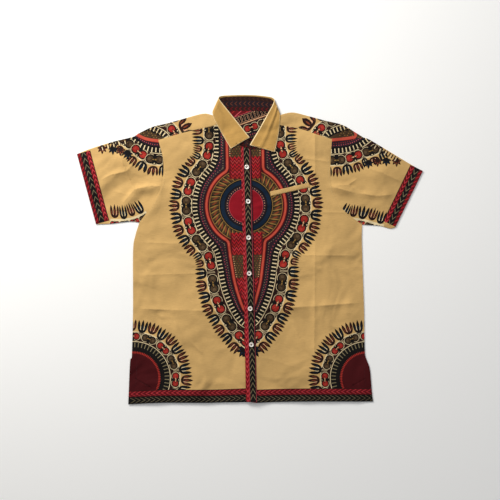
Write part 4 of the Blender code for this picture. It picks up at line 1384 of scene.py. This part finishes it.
def makeButton(number, place):
    # a turned disc with a rolled rim, a dished face and four holes; returns the thread that sews it on
    radius = button["radius"]
    steps = 40
    holeSteps = 12
    dish = 0.56 * radius
    profile = ((0.62, 1.6), (0.7, 2.0), (0.78, 2.25), (0.87, 2.3), (0.95, 2.1), (1.0, 1.7), (1.0, 0.9),
               (0.95, 0.4), (0.84, 0.05))  # share of the radius, and height
    seat = placketLayer(np.array([place]))[0] + cloth["layer"] / 2 + 0.1
    rim = ring((0, 0), dish, steps)
    shapes = [rim] + [ring((x * button["holeAt"], y * button["holeAt"]), button["hole"], holeSteps)
                      for x, y in ((0.7, 0.7), (-0.7, 0.7), (-0.7, -0.7), (0.7, -0.7))]
    faces = []
    start = 0
    for shape in shapes:
        faces.append(list(range(start, start + len(shape))))
        start += len(shape)
    spots = [Vector(p) for p in np.vstack(shapes + [[(0, 0)]]).tolist()]
    net = delaunay_2d_cdt(spots, [], faces, 0, 1e-5, True)
    vertices = [(p.x, p.y, 1.5) for p in net[0]]
    polygons = [tuple(t) for t, ids in zip(net[2], net[5]) if ids == [0]]

    def addWall(inner, outer):
        for k in range(len(inner)):
            after = (k + 1) % len(inner)
            polygons.append((inner[k], outer[k], outer[after], inner[after]))

    for first in range(steps, steps + 4 * holeSteps, holeSteps):
        bottom = range(len(vertices), len(vertices) + holeSteps)
        vertices += [(x, y, 0.15) for x, y, _ in vertices[first:first + holeSteps]]
        addWall(bottom, range(first, first + holeSteps))
        polygons.append(tuple(bottom))
    previous = range(steps)
    for share, z in profile:
        current = range(len(vertices), len(vertices) + steps)
        vertices += [(x / dish * (share * radius), y / dish * (share * radius), z) for x, y in rim]
        addWall(previous, current)
        previous = current
    polygons.append(tuple(reversed(previous)))
    mesh = makeMesh("button%d" % number, np.array(vertices) + [*place, seat], polygons, pearl)
    mesh.set_sharp_from_angle(angle=math.radians(50))
    toShirt(addObject("button%d" % number, mesh), "button_%d" % number)
    cross = np.array((((-1, -1), (1, 1)), ((-1, 1), (1, -1)), ((-1, -1), (-1, 1)), ((1, -1), (1, 1))))
    return [(a, b, (seat + 1.8, seat + 1.8), button["thread"])
            for a, b in cross * 0.7 * button["holeAt"] + place]


def stitchMesh(name, stitches, material):
    # each stitch is a short plump thread with pinched ends: from, to, heights of both, thickness
    vertices = []
    faces = []
    for start, end, heights, thick in stitches:
        start = np.array([start[0], start[1], heights[0]])
        end = np.array([end[0], end[1], heights[1]])
        along = (end - start) / np.linalg.norm(end - start)
        across = np.cross(along, (0, 0, 1.0))
        across /= np.linalg.norm(across)
        up = np.cross(across, along)
        base = len(vertices)
        vertices.append(start - up * thick * 0.3)
        for share in (0.2, 0.8):
            middle = start + (end - start) * share
            for angle in math.tau * np.arange(5) / 5:
                vertices.append(middle + thick / 2 * (across * math.cos(angle) + up * math.sin(angle)))
        vertices.append(end - up * thick * 0.3)
        for k in range(5):
            after = (k + 1) % 5
            faces += [(base, base + 1 + after, base + 1 + k),
                      (base + 1 + k, base + 1 + after, base + 6 + after, base + 6 + k),
                      (base + 6 + k, base + 6 + after, base + 11)]
    toShirt(addObject(name, makeMesh(name, vertices, faces, material)))


stitch = {"length": 2.5, "gap": 0.9, "thread": 0.42, "lift": 0.37, "collarLift": 0.42}


def stitchesAlong(line, height=None):
    # stitches of one seam; height gives the middle of the cloth under each end, if the line doesn't
    line = np.asarray(line, dtype=float)
    lengths = lengthsAlong(line)
    starts = np.arange(0, lengths[-1] - stitch["length"], stitch["length"] + stitch["gap"])
    places = [np.stack([np.interp(at, lengths, line[:, k]) for k in range(line.shape[1])], axis=1)
              for at in (starts, starts + stitch["length"])]
    heights = [height(spots) + stitch["lift"] if height else spots[:, 2] + stitch["collarLift"]
               for spots in places]
    return [(a, b, pair, stitch["thread"]) for a, b, pair in zip(*places, zip(*heights))]


def makeStitching(threads):
    pale = []
    dark = []
    for side, sign, x, lean in (("right", 1, -284.5, 3), ("left", -1, 286.5, -4)):
        seams = ((pale, yokeSeam[side], 2.2, frontLayer), (pale, armhole[side][1:], 5.0, upperLayers[side]),
                 (dark, hem[side], 20.0, upperLayers[side]), (dark, placketEdge[side], 1.8, placketLayer))
        for sewn, rows, inset, height in seams:
            sewn += stitchesAlong(insetChain(evenCurve(rows), sign, inset), height)
        track = cuffTrack(side)
        along = np.linspace(3, track["length"] - 3, 60)
        dark += stitchesAlong(onTrack(track, along, cuff["stitch"]), frontLayer)
        dark += stitchesAlong([(x, -272), (x - lean, -345)], upperLayers[side])  # beside the slit
    start, end = welt["from"], welt["to"]
    along, across = axesAlong(start, end)
    for offset in (across * -3.6, across * 3.6):
        pale += stitchesAlong([start + along * 2 + offset, end - along * 2 + offset], weltHeight)
    t = np.linspace(4, collarRows(fallRows)[1][-1] - 4, 260)
    hemLine = fallPlace(levelLine(t, fall["width"] - fall["hemStitch"]))
    pale += [sewn for sewn in stitchesAlong(hemLine) if min(sewn[2]) > 3.0 + stitch["collarLift"]]
    for x, y in button["line"]:
        for shift in (-1.0, 1.0):
            dark += stitchesAlong([(x + shift, y + 8.5), (x + shift, y - 8.5)], placketLayer)
    stitchMesh("topstitchingPale", pale, creamThread)
    stitchMesh("topstitchingDark", dark, darkThread)
    stitchMesh("buttonThread", threads, darkThread)
    print("stitches:", len(pale) + len(dark))


# Camera, light and floor come first, then the shirt from the floor up

def makeCamera():
    lens = bpy.data.cameras.new("overhead")
    lens.sensor_width = camera["sensor"]
    lens.lens = camera["sensor"] * camera["height"] / camera["seenWidth"]
    eye = addObject("overhead", lens)
    eye.location = (0.0, 0.0, camera["height"] * mm)
    bpy.context.scene.camera = eye


lights = {
    "window": {"place": (-1.35, 1.6, 1.05), "size": 0.7, "watts": 58.0, "tint": "#FFFCF6"},
    "ceiling": {"place": (0.0, 1.4, 2.2), "size": 2.6, "watts": 21.0, "tint": "#FFFFFF"},
    "fill": {"place": (1.8, -1.5, 1.7), "size": 1.8, "watts": 4.0, "tint": "#F6F9FF"},
}


def makeLights():
    for name, setup in lights.items():
        lamp = bpy.data.lights.new(name, "AREA")
        lamp.size = setup["size"]
        lamp.energy = setup["watts"]
        lamp.color = hexToLinear(setup["tint"])[:3]
        holder = addObject(name, lamp)
        holder.location = setup["place"]
        holder.rotation_euler = (-Vector(setup["place"])).to_track_quat("-Z", "Y").to_euler()
    world = bpy.data.worlds.new("softbox")
    world.use_nodes = True
    background = world.node_tree.nodes["Background"].inputs
    background["Color"].default_value = (1.0, 1.0, 1.0, 1.0)
    background["Strength"].default_value = 0.28
    bpy.context.scene.world = world
    bpy.context.scene.view_settings.view_transform = "Standard"


def makeFloor():
    # matt white paint on a flat board
    material, tree, shader, place = startMaterial("mattWhiteBoard", {
        "Base Color": hexToLinear("#FBFBFA"), "Roughness": 0.9})
    speckle = addNode(tree, "ShaderNodeTexNoise", None, {"Vector": place, "Scale": 300.0, "Detail": 2.0})
    bump = addNode(tree, "ShaderNodeBump", None,
                   {"Height": speckle.outputs["Fac"], "Strength": 0.05, "Distance": 0.0002})
    tree.links.new(bump.outputs["Normal"], shader.inputs["Normal"])
    mesh = bpy.data.meshes.new("floor")
    reach = 6.0
    mesh.from_pydata([(-reach, -reach, 0), (reach, -reach, 0), (reach, reach, 0), (-reach, reach, 0)], [],
                     [(0, 1, 2, 3)])
    mesh.materials.append(material)
    addObject("floor", mesh)


makeCamera()
makeLights()
makeFloor()
back = makeBackPanel()
yoke = makeYoke()
fronts = {side: makeFront(side) for side in ("right", "left")}
sleeves = {side: makeSleeve(side) for side in ("right", "left")}
ribbon = makePlacket()
stand = makeStand()
leaves = makeFall()
pocket = makeWelt()
buttonThreads = []
for number, place in enumerate(button["line"], start=1):
    buttonThreads += makeButton(number, place)
makeStitching(buttonThreads)
print("all pieces made")


def polygonArea(points):
    return abs(signedArea(points)) * mm * mm


# Each piece as it was cut, without the seam and hem turnings
for side in ("right", "left"):
    whole = 2 * polygonArea(sleeveOutline(side)[0])
